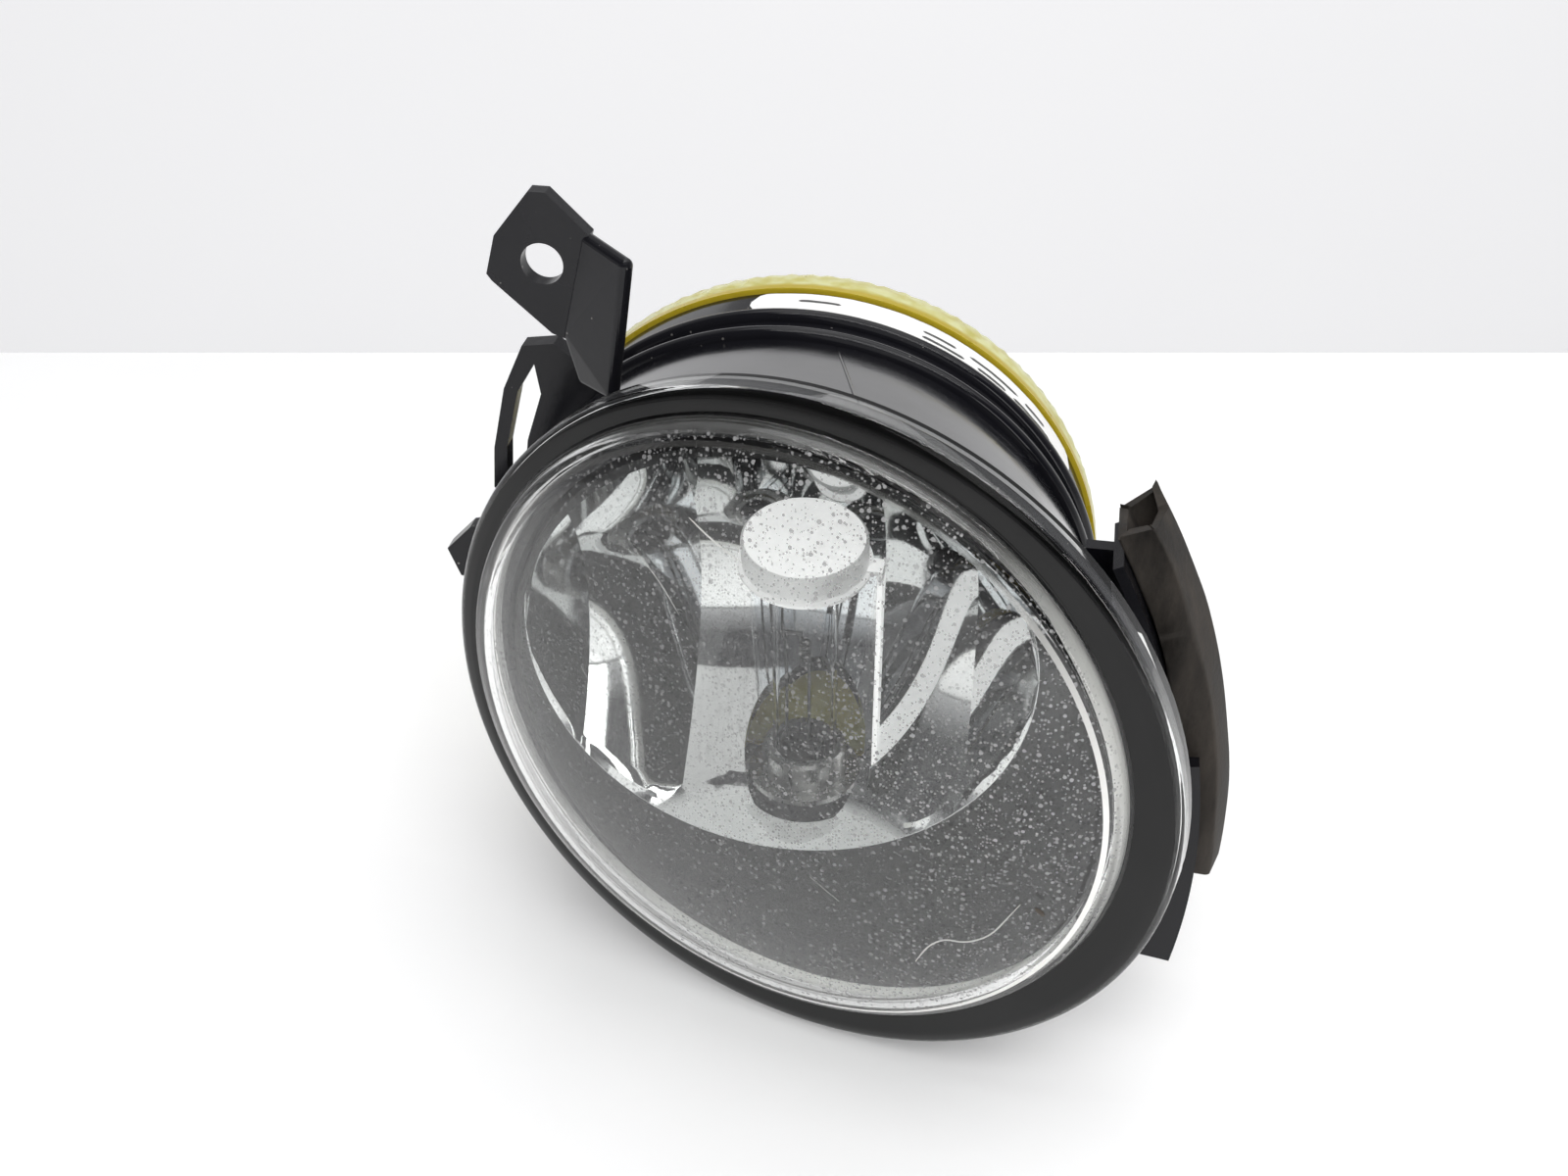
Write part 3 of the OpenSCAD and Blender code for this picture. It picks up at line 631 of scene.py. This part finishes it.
def make_lens():
    """The clear lens: a dome off-centre on a flat rim, with a skirt turned back."""
    outer = soften(
        [
            (LENS_R, 3.6, 0),
            (LENS_R, -0.1, 0),
            (LENS_R - 0.45, -0.75, 0),
            (LENS_R - 1.2, -1.2, 0),
            (LENS_R - 2.6, -1.5, 0),
            (DOME_R + 0.5, -1.6, 1),
            (DOME_R, -2.1, 1),
            (DOME_R, -3.6, 1),
            (DOME_R - 0.5, -4.7, 1),
            (DOME_R - 1.4, -DOME_EDGE, 1),
        ],
        0.45,
    )
    inner_r = DOME_R - LENS_WALL
    inner = soften(
        [
            (inner_r - 1.4, LENS_WALL - DOME_EDGE, 1),
            (inner_r - 0.5, LENS_WALL - 4.7, 1),
            (inner_r, LENS_WALL - 3.6, 1),
            (inner_r, 0.8, 1),
            (LENS_R - 1.3, 0.8, 0),
            (LENS_R - 1.3, 3.6, 0),
        ],
        0.4,
    )
    outside = outer[:-1] + dome_curve(DOME_R - 1.4, 0)
    inside = dome_curve(inner_r - 1.4, LENS_WALL)[::-1] + inner[1:]
    rings = [lens_ring(p) for p in inside + outside]
    tip = Vector((DOME_SHIFT[0], -DOME_HEIGHT, DOME_SHIFT[1]))
    inner_tip = tip + Vector((0, LENS_WALL, 0))
    lens = loft("lens_clear", rings, poles=(rim_plane(inner_tip), rim_plane(tip)), sharp_angle=50)
    paints = [LENS_OUTER, LENS_INNER, LENS_STEP, RIM_BLACK]
    place(lens, "lamp", paints, ["lens"])
    paint_lens(lens, inner_r)
    return lens


OUTSIDE, INSIDE, STEP, RIM = range(4)


def paint_lens(lens, inner_r):
    """Dusty outside, clean inside, a pale step round the dome and a black rim."""
    c, s = math.cos(RAKE), math.sin(RAKE)
    for face in lens.data.polygons:
        p = face.center / MM
        x, depth = p.x * c - p.y * s, p.x * s + p.y * c
        from_dome = math.hypot(x - DOME_SHIFT[0], p.z - DOME_SHIFT[1])
        normal = face.normal
        backward = normal.x * s + normal.y * c
        on_flat = from_dome > DOME_R + 0.55 and math.hypot(x, p.z) < LENS_R - 1.1
        on_back = depth > 0.4 and backward > 0.5 and from_dome > inner_r
        if on_back or (on_flat and backward < -0.5):
            face.material_index = RIM
        elif depth < 0.8 and inner_r - 0.3 < from_dome < inner_r + 0.3:
            face.material_index = STEP
        elif backward > 0.1 and from_dome < inner_r:
            face.material_index = INSIDE
        else:
            face.material_index = OUTSIDE


def dome_point(x, z, lift):
    """A point just over the dome, from its place in the plane of the rim."""
    r = math.hypot(x - DOME_SHIFT[0], z - DOME_SHIFT[1])
    a = math.acos(min(1.0, r / (DOME_R - 1.4)))
    depth = -DOME_EDGE - (DOME_HEIGHT - DOME_EDGE) * dome_rise(a)
    return rim_plane((x, depth - lift, z))


def strand(name, path, radius):
    """A fine thread laid along the dome through (x, z) points, thinner at its ends."""
    points = [dome_point(p.x, p.y, radius * 0.3) for p in soften(path, 2.5)]
    sides = 6
    rings = []
    for i, p in enumerate(points):
        along = (points[min(i + 1, len(points) - 1)] - points[max(i - 1, 0)]).normalized()
        across = along.cross(Vector((0, -1, 0))).normalized()
        up = across.cross(along)
        r = radius * (0.4 if i in (0, len(points) - 1) else 1.0)
        turns = [2 * math.pi * k / sides for k in range(sides)]
        rings.append([p + across * r * math.cos(t) + up * r * math.sin(t) for t in turns])
    return loft(name, rings, poles=(points[0], points[-1]), sharp_angle=80)


HAIRS = (
    ((24.3, -26.9), (26.2, -22.4), (28.7, -19.9), (31.7, -20.0), (35.3, -17.4), (39.2, -9.6)),
    ((-11.9, 41.7), (-8.0, 39.4), (-3.3, 37.3)),
)
SCRATCHES = (
    ((-20.2, 34.5), (-16.0, 31.0), (-12.8, 26.7)),
    ((8.0, -14.0), (12.5, -17.5)),
    ((-30.0, 12.0), (-27.0, 7.5)),
)


def make_debris():
    """A chip of dirt, two pale hairs and a few scratches on the dome."""
    chip = strand("dome_chip", ((41.3, -9.9), (42.0, -10.5), (42.6, -11.2)), 0.36)
    place(chip, "lamp", DIRT)
    threads = [strand("hair", path, 0.14) for path in HAIRS]
    threads += [strand("scratch", path, 0.06) for path in SCRATCHES]
    join_meshes(threads[0], threads[1:], 80)
    threads[0].name = "dome_threads"
    place(threads[0], "lamp", LINT)


# ---------- housing ----------


def ridge_profile(y):
    """Half circle of a ridge round the drum, as (radius, depth) points."""
    steps = 10
    points = []
    for i in range(steps + 1):
        a = math.pi * i / steps
        points.append((DRUM_R + RIDGE_R * math.sin(a), y - RIDGE_R * math.cos(a)))
    return points


def make_housing():
    """The drum: flange behind the lens rim, taper, two ridges and a straight back."""
    cone_front = ring(FLANGE_R - 0.7, FLANGE_BACK + 0.1, swept=True)
    cone_back = drum_ring(DRUM_R, RIDGE_YS[0] - RIDGE_R - 0.2)
    inner_front = ring(FLANGE_R - DRUM_WALL, FLANGE_BACK, swept=True)
    inner_back = drum_ring(DRUM_R - DRUM_WALL, 37)
    rings = [
        ring(FLANGE_INNER_R, FLANGE_FRONT, swept=True),
        ring(FLANGE_R - 0.25, FLANGE_FRONT, swept=True),
        ring(FLANGE_R, FLANGE_FRONT + 0.25, swept=True),
        ring(FLANGE_R, FLANGE_BACK - 0.25, swept=True),
        ring(FLANGE_R - 0.25, FLANGE_BACK, swept=True),
        ring(FLANGE_R - 0.6, FLANGE_BACK, swept=True),
    ]
    rings += [between(cone_front, cone_back, i / 14) for i in range(15)]
    for y in RIDGE_YS:
        rings += [drum_ring(r, d) for r, d in ridge_profile(y)]
    rings += [
        drum_ring(DRUM_R, RIDGE_YS[1] + RIDGE_R + 0.3),
        drum_ring(DRUM_R, DRUM_BACK - 0.3),
        drum_ring(DRUM_R - 0.3, DRUM_BACK),
        drum_ring(DRUM_R - DRUM_WALL, DRUM_BACK),
    ]
    rings += [between(inner_back, inner_front, i / 6) for i in range(7)]
    rings.append(ring(FLANGE_INNER_R, FLANGE_BACK, swept=True))
    housing = loft("housing_shell", rings, loop=True)
    hole = [(0, -70), (SOCKET_HOLE_R, -70), (SOCKET_HOLE_R, -34), (0, -34)]
    cutter = lathe("cutter", hole, (BULB_X, BULB_Y), "z")
    cut_away(housing, cutter)
    join_meshes(housing, [parting_line()] + screw_ears() + adjuster_lugs())
    return place(housing, "lamp", BLACK_GLOSS, ["housing"])


def parting_line():
    """Low moulding seam across the top of the taper."""
    angle, half_width = 82, 0.192
    front = ring(FLANGE_R - 0.7, FLANGE_BACK + 0.4, swept=True)
    back = drum_ring(DRUM_R, RIDGE_YS[0] - RIDGE_R)
    place_at = int(angle / 360 * SIDES)
    rows = []
    for i in range(13):
        row = between(front, back, i / 12)
        centre = row[place_at].lerp(row[place_at + 1], 0.5)
        out = Vector((centre.x - DRUM_X, 0, centre.z)).normalized()
        side = Vector((-out.z, 0, out.x)) * half_width
        section = [(-1, -0.3), (-1, 0.06), (0, 0.12), (1, 0.06), (1, -0.3)]
        rows.append([centre + side * across + out * lift for across, lift in section])
    return loft("seam", rows)


def boss(name, centre, radius, from_y, to_y, cut=0.3):
    """A round boss along Y with softened edges."""
    profile = soften([(0, from_y), (radius, from_y), (radius, to_y), (0, to_y)], cut)
    return lathe(name, profile, centre, sides=48)


def around_drum(angle, radius):
    a = math.radians(angle)
    return (DRUM_X + radius * math.cos(a), radius * math.sin(a))


def screw_ears():
    """Ears on the drum for the rear cover's screws."""
    from_y = DRUM_BACK - 6
    return [boss("ear", around_drum(a, EAR_OUT), EAR_R, from_y, DRUM_BACK) for a in EAR_ANGLES]


def adjuster_lugs():
    """Two webs that carry the aim adjuster's shaft."""
    centre = around_drum(ADJUSTER_ANGLE, ADJUSTER_OUT)
    radii, widths = (47.0, ADJUSTER_OUT), (14, 10.6)
    lugs = []
    for front in LUG_FRONTS:
        back = front + LUG_THICK
        lugs.append(boss("lug", centre, 5.4, front, back))
        lugs.append(web("lug_web", ADJUSTER_ANGLE, radii, widths, front, back))
    return lugs


def web(name, angle, radii, widths, from_y, to_y):
    """A tapered plate that stands out from the drum."""
    a = math.radians(angle)
    out = Vector((math.cos(a), 0, math.sin(a)))
    side = Vector((-out.z, 0, out.x))
    axis = Vector((DRUM_X, 0, 0))
    corners = []
    for radius, width in zip(radii, widths):
        for sign in (-1, 1):
            corners.append(axis + out * radius + side * sign * width / 2)
    order = (0, 1, 3, 2)
    rows = [[corners[k] + Vector((0, y, 0)) for k in order] for y in (from_y, to_y)]
    faces = [(0, 1, 2, 3), (4, 5, 6, 7)]
    faces += [(k, (k + 1) % 4, 4 + (k + 1) % 4, 4 + k) for k in range(4)]
    return new_object(name, rows[0] + rows[1], faces)


# ---------- bezel and reflector ----------


def make_bezel():
    """Dark funnel from the flange to the reflector."""
    front_r = FLANGE_INNER_R - 1.2
    outer_front = ring(front_r, FLANGE_FRONT, swept=True)
    outer_back = drum_ring(REFLECTOR_R + 1.6, REFLECTOR_Y - 0.3)
    inner_front = ring(front_r - 1.4, FLANGE_FRONT - 0.3, swept=True)
    inner_back = drum_ring(REFLECTOR_R + 0.1, REFLECTOR_Y)
    steps = 24
    rings = [between(outer_front, outer_back, i / steps) for i in range(steps + 1)]
    rings += [between(inner_front, inner_back, 1 - i / steps) for i in range(steps + 1)]
    bezel = loft("bezel_funnel", rings, loop=True)
    return place(bezel, "lamp", BEZEL, ["bezel"])


FLUTE_EDGES = (-49.0, -41.0, -24.5, -8.2, 8.0, 25.0, 36.0)
FLUTE_RISE = (0.4, 1.5, 1.6, 1.5, 1.6, 0.8)
FLUTE_END_Z = -36.0


def bowl_depth(x, z, rise, share):
    """Depth of the reflector at a point, with its flute raised towards the lens."""
    r2 = (x - DRUM_X) ** 2 + z * z
    fade = min(1.0, max(0.0, (z - FLUTE_END_Z) / 2.5))
    return BOWL_APEX - r2 / (4 * FOCAL) - rise * fade * (1 - (2 * share - 1) ** 2)


def flute_columns(index, steps=14):
    """Columns of points down one flute, from its left edge to its right."""
    left, right = FLUTE_EDGES[index], FLUTE_EDGES[index + 1]
    rows = 72
    columns = []
    for i in range(steps + 1):
        share = i / steps
        x = left + (right - left) * share
        half = math.sqrt(max(REFLECTOR_R**2 - (x - DRUM_X) ** 2, 0.04))
        column = []
        for k in range(rows + 1):
            z = half * (2 * k / rows - 1)
            rim = min(1.0, (half - abs(z)) / 2.0)
            column.append(Vector((x, bowl_depth(x, z, FLUTE_RISE[index] * rim, share), z)))
        columns.append(column)
    return columns


def make_reflector():
    """The fluted bowl with its lip, back and the tube that guides the bulb."""
    vertices, faces = [], []
    for index in range(len(FLUTE_RISE)):
        columns = flute_columns(index)
        for depth in (0.0, 2.0):
            start = len(vertices)
            rows = len(columns[0])
            vertices += [p + Vector((0, depth, 0)) for column in columns for p in column]
            for i in range(len(columns) - 1):
                for k in range(rows - 1):
                    a = start + i * rows + k
                    faces.append((a, a + 1, a + rows + 1, a + rows))
    bowl = new_object("reflector_bowl", vertices, faces, sharp_angle=12)
    close_edges(bowl)
    hole = [(0, -70), (BULB_HOLE_R, -70), (BULB_HOLE_R, -4), (0, -4)]
    cutter = lathe("cutter", hole, (BULB_X, BULB_Y), "z")
    cut_away(bowl, cutter, 12)
    join_meshes(bowl, [reflector_lip(), bulb_turret()], 12)
    return place(bowl, "lamp", MIRROR, ["reflector"])


def close_edges(obj):
    """Joins the two skins of a sheet along their open edges."""
    bm = bmesh.new()
    bm.from_mesh(obj.data)
    open_edges = [e for e in bm.edges if e.is_boundary]
    bmesh.ops.bridge_loops(bm, edges=open_edges)
    bmesh.ops.recalc_face_normals(bm, faces=bm.faces)
    bm.to_mesh(obj.data)
    bm.free()


def reflector_lip():
    """Rolled bright lip where the bowl meets the bezel, and the flange behind it."""
    flange_r = 45.3
    profile = soften(
        [
            (REFLECTOR_R - 0.1, REFLECTOR_Y + 1.0),
            (REFLECTOR_R - 0.2, REFLECTOR_Y + 0.1),
            (REFLECTOR_R + 0.3, REFLECTOR_Y - 0.1),
            (flange_r, REFLECTOR_Y + 8),
            (flange_r, REFLECTOR_Y + 10.5),
            (REFLECTOR_R + 0.4, REFLECTOR_Y + 2.4),
        ],
        0.3,
        closed=True,
    )
    return lathe("lip", profile, (DRUM_X, 0.0))


def bulb_turret():
    """Tube below the bowl, open at both ends, that the bulb slides through."""
    top, bottom = -38.0, -44.0
    inner_r, outer_r = BULB_HOLE_R + 0.05, 12.2
    profile = [(inner_r, bottom), (outer_r, bottom), (outer_r, top), (inner_r, top)]
    return lathe("turret", profile, (BULB_X, BULB_Y), "z", sides=96)


# ---------- rear cover, label and strip ----------


def make_rear_cover():
    """Amber cover: a plain flange, a rounded back with fine ribs, screw ears and a vent."""
    cover = cover_skin()
    ear_back = COVER_FRONT + 3.2
    back_y = COVER_BEND + COVER_DEPTH
    parts = [cover_inside()]
    for angle in EAR_ANGLES:
        parts.append(boss("ear", around_drum(angle, EAR_OUT), EAR_R, COVER_FRONT, ear_back))
    parts.append(boss("vent", (DRUM_X, 14.0), 4.6, back_y - 8, back_y + 1.8))
    join_meshes(cover, parts)
    cover.name = "rear_cover_amber"
    return place(cover, "lamp", AMBER, ["rear_cover"])


def cover_skin():
    """Outside of the cover, its back an ellipse turned round the drum's axis."""
    ribs, rib_depth, steps = 96, 0.006, 40
    outline = [(COVER_LIP_R, COVER_FRONT), (COVER_R, COVER_FRONT), (COVER_R, COVER_BEND - 0.3)]
    rings = [drum_ring(radius, depth) for radius, depth in outline]
    for i in range(steps):
        a = math.pi / 2 * i / steps
        radius, depth = COVER_R * math.cos(a), COVER_BEND + COVER_DEPTH * math.sin(a)
        row = []
        for k, p in enumerate(drum_ring(radius, depth)):
            wave = 0.5 + 0.5 * math.cos(ribs * 2 * math.pi * k / SIDES)
            pull = 1 - rib_depth * wave * min(1.0, i / 3) * math.cos(a)
            row.append(Vector((DRUM_X + (p.x - DRUM_X) * pull, p.y, p.z * pull)))
        rings.append(row)
    return loft("cover_skin", rings, poles=(None, (DRUM_X, COVER_BEND + COVER_DEPTH, 0)))


def cover_inside():
    """Inside of the cover, an even wall in from its outside."""
    radius, height, steps = COVER_R - COVER_WALL, COVER_DEPTH - COVER_WALL, 20
    rings = [drum_ring(COVER_LIP_R, COVER_FRONT)]
    for i in range(steps):
        a = math.pi / 2 * i / steps
        rings.append(drum_ring(radius * math.cos(a), COVER_BEND + height * math.sin(a)))
    return loft("cover_inside", rings, poles=(None, (DRUM_X, COVER_BEND + height, 0)))


LABEL_Y = (46.0, 52.6)
LABEL_ANGLES = (28.0, 101.0)
BAR_HEIGHT = 0.7

# Start and length of each bar in degrees round the drum, then its depth
BARS = (
    (36, 11, 47.6),
    (49, 7, 47.6),
    (59, 9, 47.6),
    (38, 6, 49.4),
    (46, 12, 49.4),
    (61, 7, 49.4),
    (84, 8, 49.6),
)


def on_label(angle, y, lift):
    """A point over the label: angle in degrees, depth, and height over the drum."""
    a = math.radians(angle)
    r = DRUM_R + 0.06 + lift
    return Vector((DRUM_X + r * math.cos(a), y, r * math.sin(a)))


def label_wave(angle, y):
    """Small unevenness of the film where it has lifted."""
    return 0.05 * (1 + noise.noise(Vector((angle * 0.35, y * 0.5, 3.1))))


def curved_patch(name, angles, ys, corner, thick, base=0.0, steps=60, rows=8):
    """A thin rounded rectangle bent round the drum."""
    degrees_per_mm = 180 / math.pi / DRUM_R
    columns = []
    for i in range(steps + 1):
        angle = angles[0] + (angles[1] - angles[0]) * i / steps
        inset = min(angle - angles[0], angles[1] - angle) / degrees_per_mm
        pull = 0.0
        if corner > 0 and inset < corner:
            pull = corner - math.sqrt(max(corner**2 - (corner - inset) ** 2, 0))
        low, high = ys[0] + pull, ys[1] - pull
        columns.append([(angle, low + (high - low) * k / rows) for k in range(rows + 1)])
    vertices, faces = [], []
    for level in (base, base + thick):
        for column in columns:
            vertices += [on_label(a, y, level + label_wave(a, y)) for a, y in column]
    row = rows + 1
    skin = len(vertices) // 2
    for i in range(steps):
        for k in range(rows):
            a = i * row + k
            faces.append((a, a + 1, a + row + 1, a + row))
            faces.append(tuple(v + skin for v in (a, a + row, a + row + 1, a + 1)))
    for k in range(rows):
        for a in (k, steps * row + k):
            faces.append((a, a + 1, a + 1 + skin, a + skin))
    for i in range(steps):
        for k in (0, rows):
            a = i * row + k
            faces.append((a, a + row, a + row + skin, a + skin))
    return new_object(name, vertices, faces)


def make_label():
    """Blank white label, with plain bars where print would be."""
    label = curved_patch("label_sheet", LABEL_ANGLES, LABEL_Y, 2.6, 0.1)
    place(label, "lamp", LABEL, ["label"])
    bars = []
    for start, length, y in BARS:
        angles, ys = (start, start + length), (y, y + BAR_HEIGHT)
        bars.append(curved_patch("bar", angles, ys, 0.3, 0.02, base=0.11, steps=16, rows=2))
    first = bars[0]
    join_meshes(first, bars[1:])
    first.name = "label_bars"
    return place(first, "lamp", INK)


STRIP_ANGLES = (-1.0, 29.5)


def strip_ring(profile, share):
    """One section of the rubber strip, ragged where its top end is torn."""
    low, high = STRIP_ANGLES
    frayed = max(0.0, share - 0.9) * 10
    drawn_back = max(0.0, share - 0.97) * 30
    row = []
    for k, (radius, y) in enumerate(profile):
        torn = 1.1 * noise.noise(Vector((k * 0.45, 1.0, 5.0))) * frayed
        angle = math.radians(low + (high - low) * share - 0.9 * drawn_back + torn)
        bulge = 0.35 * noise.noise(Vector((share * 5, k * 0.25, 2.0)))
        x = STRIP_CENTRE[0] + (radius + bulge) * math.cos(angle)
        z = STRIP_CENTRE[1] + (radius + bulge) * math.sin(angle)
        row.append(Vector((x, y + bulge, z)))
    return row


def make_seal_strip():
    """Hollow rubber strip along the side, torn open at its top end."""
    outer = [(121.0, 11.0), (126.6, 10.6), (128.5, 16.5), (127.0, 22.5), (121.0, 20.5)]
    inner = [(122.3, 12.4), (126.0, 12.1), (126.9, 16.5), (126.5, 20.8), (122.3, 19.2)]
    outer = soften(outer, 0.5, 3, closed=True)
    inner = soften(inner, 0.5, 3, closed=True)
    steps = 70
    rings = [strip_ring(outer, i / steps) for i in range(steps + 1)]
    rings += [strip_ring(inner, 1 - i / steps) for i in range(steps + 1)]
    strip = loft("rubber_strip", rings, loop=True, sharp_angle=60)
    return place(strip, "lamp", RUBBER, ["seal_strip"])


# ---------- bulb ----------


def make_bulb_glass():
    """Clear envelope with a softly rounded tip."""
    radius, wall, foot, tip = 5.6, 0.9, -33.5, 10.0
    outer = [(radius, foot)] + shoulder(radius, tip, 2.4)
    inner = shoulder(radius - wall, tip - wall, 1.5)[::-1] + [(radius - wall, foot)]
    glass = lathe("bulb_envelope", outer + inner, (BULB_X, BULB_Y), "z", sides=96)
    return place(glass, "bulb", GLASS, ["bulb_glass"])


def shoulder(radius, tip, round_r, steps=12):
    """Rounded shoulder and flat tip of the envelope."""
    points = []
    for i in range(steps + 1):
        a = math.pi / 2 * i / steps
        across, up = round_r * (math.cos(a) - 1), round_r * (math.sin(a) - 1)
        points.append((radius + across, tip + up))
    return points + [(0, tip)]


# ---------- CAD nodes that stay in view ----------

KEPT_NODES = {
    "lens_seal": (BLACK_GLOSS, 0),
    "cover_seal": (SEAL_BLACK, 0),
    "cover_screws": (STEEL, 0.15),
    "bulb_shield": (SHIELD, 0.1),
    "shield_rivets": (STEEL, 0),
    "bulb_socket": (BLACK_SATIN, 0.2),
    "bulb_base": (BLACK_DULL, 0.3),
    "bulb_collar": (COLLAR, 0.15),
    "bulb_seal": (SEAL_GREEN, 0),
    "filament": (TUNGSTEN, 0),
    "contact_pins": (TINNED, 0.1),
    "screw_bracket": (BLACK_SATIN, 0.35),
    "loop_clip": (BLACK_SATIN, 0.3),
    "locating_tab": (BLACK_SATIN, 0.3),
    "side_flange": (BLACK_SATIN, 0.25),
    "breather_cap": (BLACK_DULL, 0.25),
    "adjuster_screw": (ZINC, 0),
    "adjuster_clip": (STEEL, 0),
    "adjuster_slider": (NYLON, 0.3),
    "aim_stud": (STEEL, 0.3),
}


def dress_nodes():
    """Gives each CAD node that stays in view its material and broken edges."""
    for name, (material, width) in KEPT_NODES.items():
        mesh = NODES[name].data
        mesh.materials.clear()
        mesh.materials.append(material)
        if width:
            bevel_node(name, width)


# ---------- stage, light and camera ----------


TABLE_EDGE = Vector((-45.6, 247.0, 0))
AWAY = Vector((-0.1754, 0.9845, 0))
SIDEWAYS = Vector((AWAY.y, -AWAY.x, 0))


def make_table():
    """White table top, with its far edge behind the lamp."""
    half_width, length = 2500, 2600
    on_floor = TABLE_EDGE + Vector((0, 0, FLOOR_Z / MM))
    corners = [on_floor - SIDEWAYS * half_width, on_floor + SIDEWAYS * half_width]
    corners += [c - AWAY * length for c in reversed(corners)]
    table = new_object("stage_table", corners, [(0, 1, 2, 3)])
    s = Shader("table_white", Specular_IOR_Level=0.3)
    s.colour(s.mix(s.noise(60, 3), grey(0.9), grey(0.94)))
    s.roughness(s.span(s.noise(25, 3), 0.3, 0.7, 0.4, 0.5))
    table.data.materials.append(s.material)
    return table


def make_wall():
    """Pale wall beyond the table, glowing evenly as if lit by a whole room."""
    half_width, gap = 4000, 1100
    base = TABLE_EDGE + AWAY * gap
    left, right = base - SIDEWAYS * half_width, base + SIDEWAYS * half_width
    low, high = Vector((0, 0, -1500)), Vector((0, 0, 400))
    points = [left + low, right + low, right + high, left + high]
    wall = new_object("stage_wall", points, [(0, 1, 2, 3)])
    s = Shader("wall_pale", Specular_IOR_Level=0.2)
    s.colour(s.mix(s.noise(300, 2), (0.78, 0.78, 0.785, 1), (0.81, 0.81, 0.815, 1)))
    s.roughness(s.span(s.noise(100, 2), 0.3, 0.7, 0.8, 0.9))
    s.surface.inputs["Emission Color"].default_value = (0.8, 0.8, 0.81, 1)
    s.surface.inputs["Emission Strength"].default_value = 0.52
    wall.data.materials.append(s.material)
    return wall


def make_stage():
    """The table and the wall, which are no part of the lamp."""
    table = make_table()
    wall = make_wall()


def area_light(name, at, towards, size, power, colour=(1, 1, 1)):
    """A flat lamp aimed at a point; at and towards are in millimetres."""
    data = bpy.data.lights.new(name, "AREA")
    data.shape = "RECTANGLE"
    data.size, data.size_y = size
    data.energy = power
    data.color = colour
    obj = bpy.data.objects.new(name, data)
    bpy.context.scene.collection.objects.link(obj)
    obj.location = Vector(at) * MM
    aim = (Vector(towards) - Vector(at)).normalized()
    obj.rotation_mode = "QUATERNION"
    obj.rotation_quaternion = aim.to_track_quat("-Z", "Y")
    return obj


def make_light():
    """A soft light overhead, three ceiling tubes, panels for the mirror and unseen fill."""
    area_light("soft_top", (300, 500, 1300), (0, 20, 0), (1.8, 1.4), 9)
    area_light("panel_right", (900, -700, 350), (0, 0, 0), (0.18, 0.8), 1.6)
    area_light("panel_front", (300, -900, 1000), (0, 20, 0), (0.9, 1.0), 1.6)
    fill = area_light("soft_front", (150, -900, 1000), (0, 20, 0), (1.2, 1.0), 13.5)
    side = area_light("soft_left", (-1000, -500, 600), (0, 0, 0), (0.8, 0.8), 3)
    for light in (fill, side):
        light.visible_glossy = False
        light.visible_transmission = False
    for i in range(3):
        y = -260 + 150 * i
        area_light(f"tube_{i}", (420, y, 1200), (420, y + 100, 0), (1.5, 0.025), 1.6)


def make_surround():
    """A grey surround, dark above and in front of the lamp."""
    world = bpy.data.worlds.new("surround")
    bpy.context.scene.world = world
    world.use_nodes = True
    tree = world.node_tree
    background = tree.nodes["Background"]
    background.inputs["Strength"].default_value = 1.0
    coords = tree.nodes.new("ShaderNodeTexCoord")
    split = tree.nodes.new("ShaderNodeSeparateXYZ")
    tree.links.new(coords.outputs["Generated"], split.inputs[0])
    dark = []
    for axis, low, high in (("Y", 0.35, -0.05), ("Z", 0.0, 0.2)):
        node = tree.nodes.new("ShaderNodeMapRange")
        node.inputs["From Min"].default_value = low
        node.inputs["From Max"].default_value = high
        tree.links.new(split.outputs[axis], node.inputs["Value"])
        dark.append(node.outputs["Result"])
    both = tree.nodes.new("ShaderNodeMath")
    both.operation = "MULTIPLY"
    tree.links.new(dark[0], both.inputs[0])
    tree.links.new(dark[1], both.inputs[1])
    mix = tree.nodes.new("ShaderNodeMix")
    mix.data_type = "RGBA"
    mix.inputs[6].default_value = (0.42, 0.42, 0.43, 1)
    mix.inputs[7].default_value = (0.03, 0.03, 0.033, 1)
    tree.links.new(both.outputs[0], mix.inputs["Factor"])
    tree.links.new(mix.outputs[2], background.inputs["Color"])


def make_camera():
    """The photograph's viewpoint: above and to the front, a normal lens."""
    data = bpy.data.cameras.new("camera")
    data.sensor_width = 36
    data.lens = 40.5
    data.clip_start, data.clip_end = 0.01, 20
    camera = bpy.data.objects.new("camera", data)
    bpy.context.scene.collection.objects.link(camera)
    bpy.context.scene.camera = camera
    right = Vector((0.98450, 0.17537, 0))
    forward = Vector((-0.14505, 0.81427, -0.5621)).normalized()
    up = right.cross(forward)
    turn = Matrix((right, up, -forward)).transposed()
    position = Matrix.Translation(Vector((34.53, -203.17, 168.20)) * MM)
    camera.matrix_world = position @ turn.to_4x4()


# ---------- build ----------

make_lens()
make_debris()
make_housing()
make_bezel()
make_reflector()
make_rear_cover()
make_label()
make_seal_strip()
make_bulb_glass()
dress_nodes()
make_stage()
make_light()
make_surround()
make_camera()
bpy.context.scene.view_settings.view_transform = "Standard"
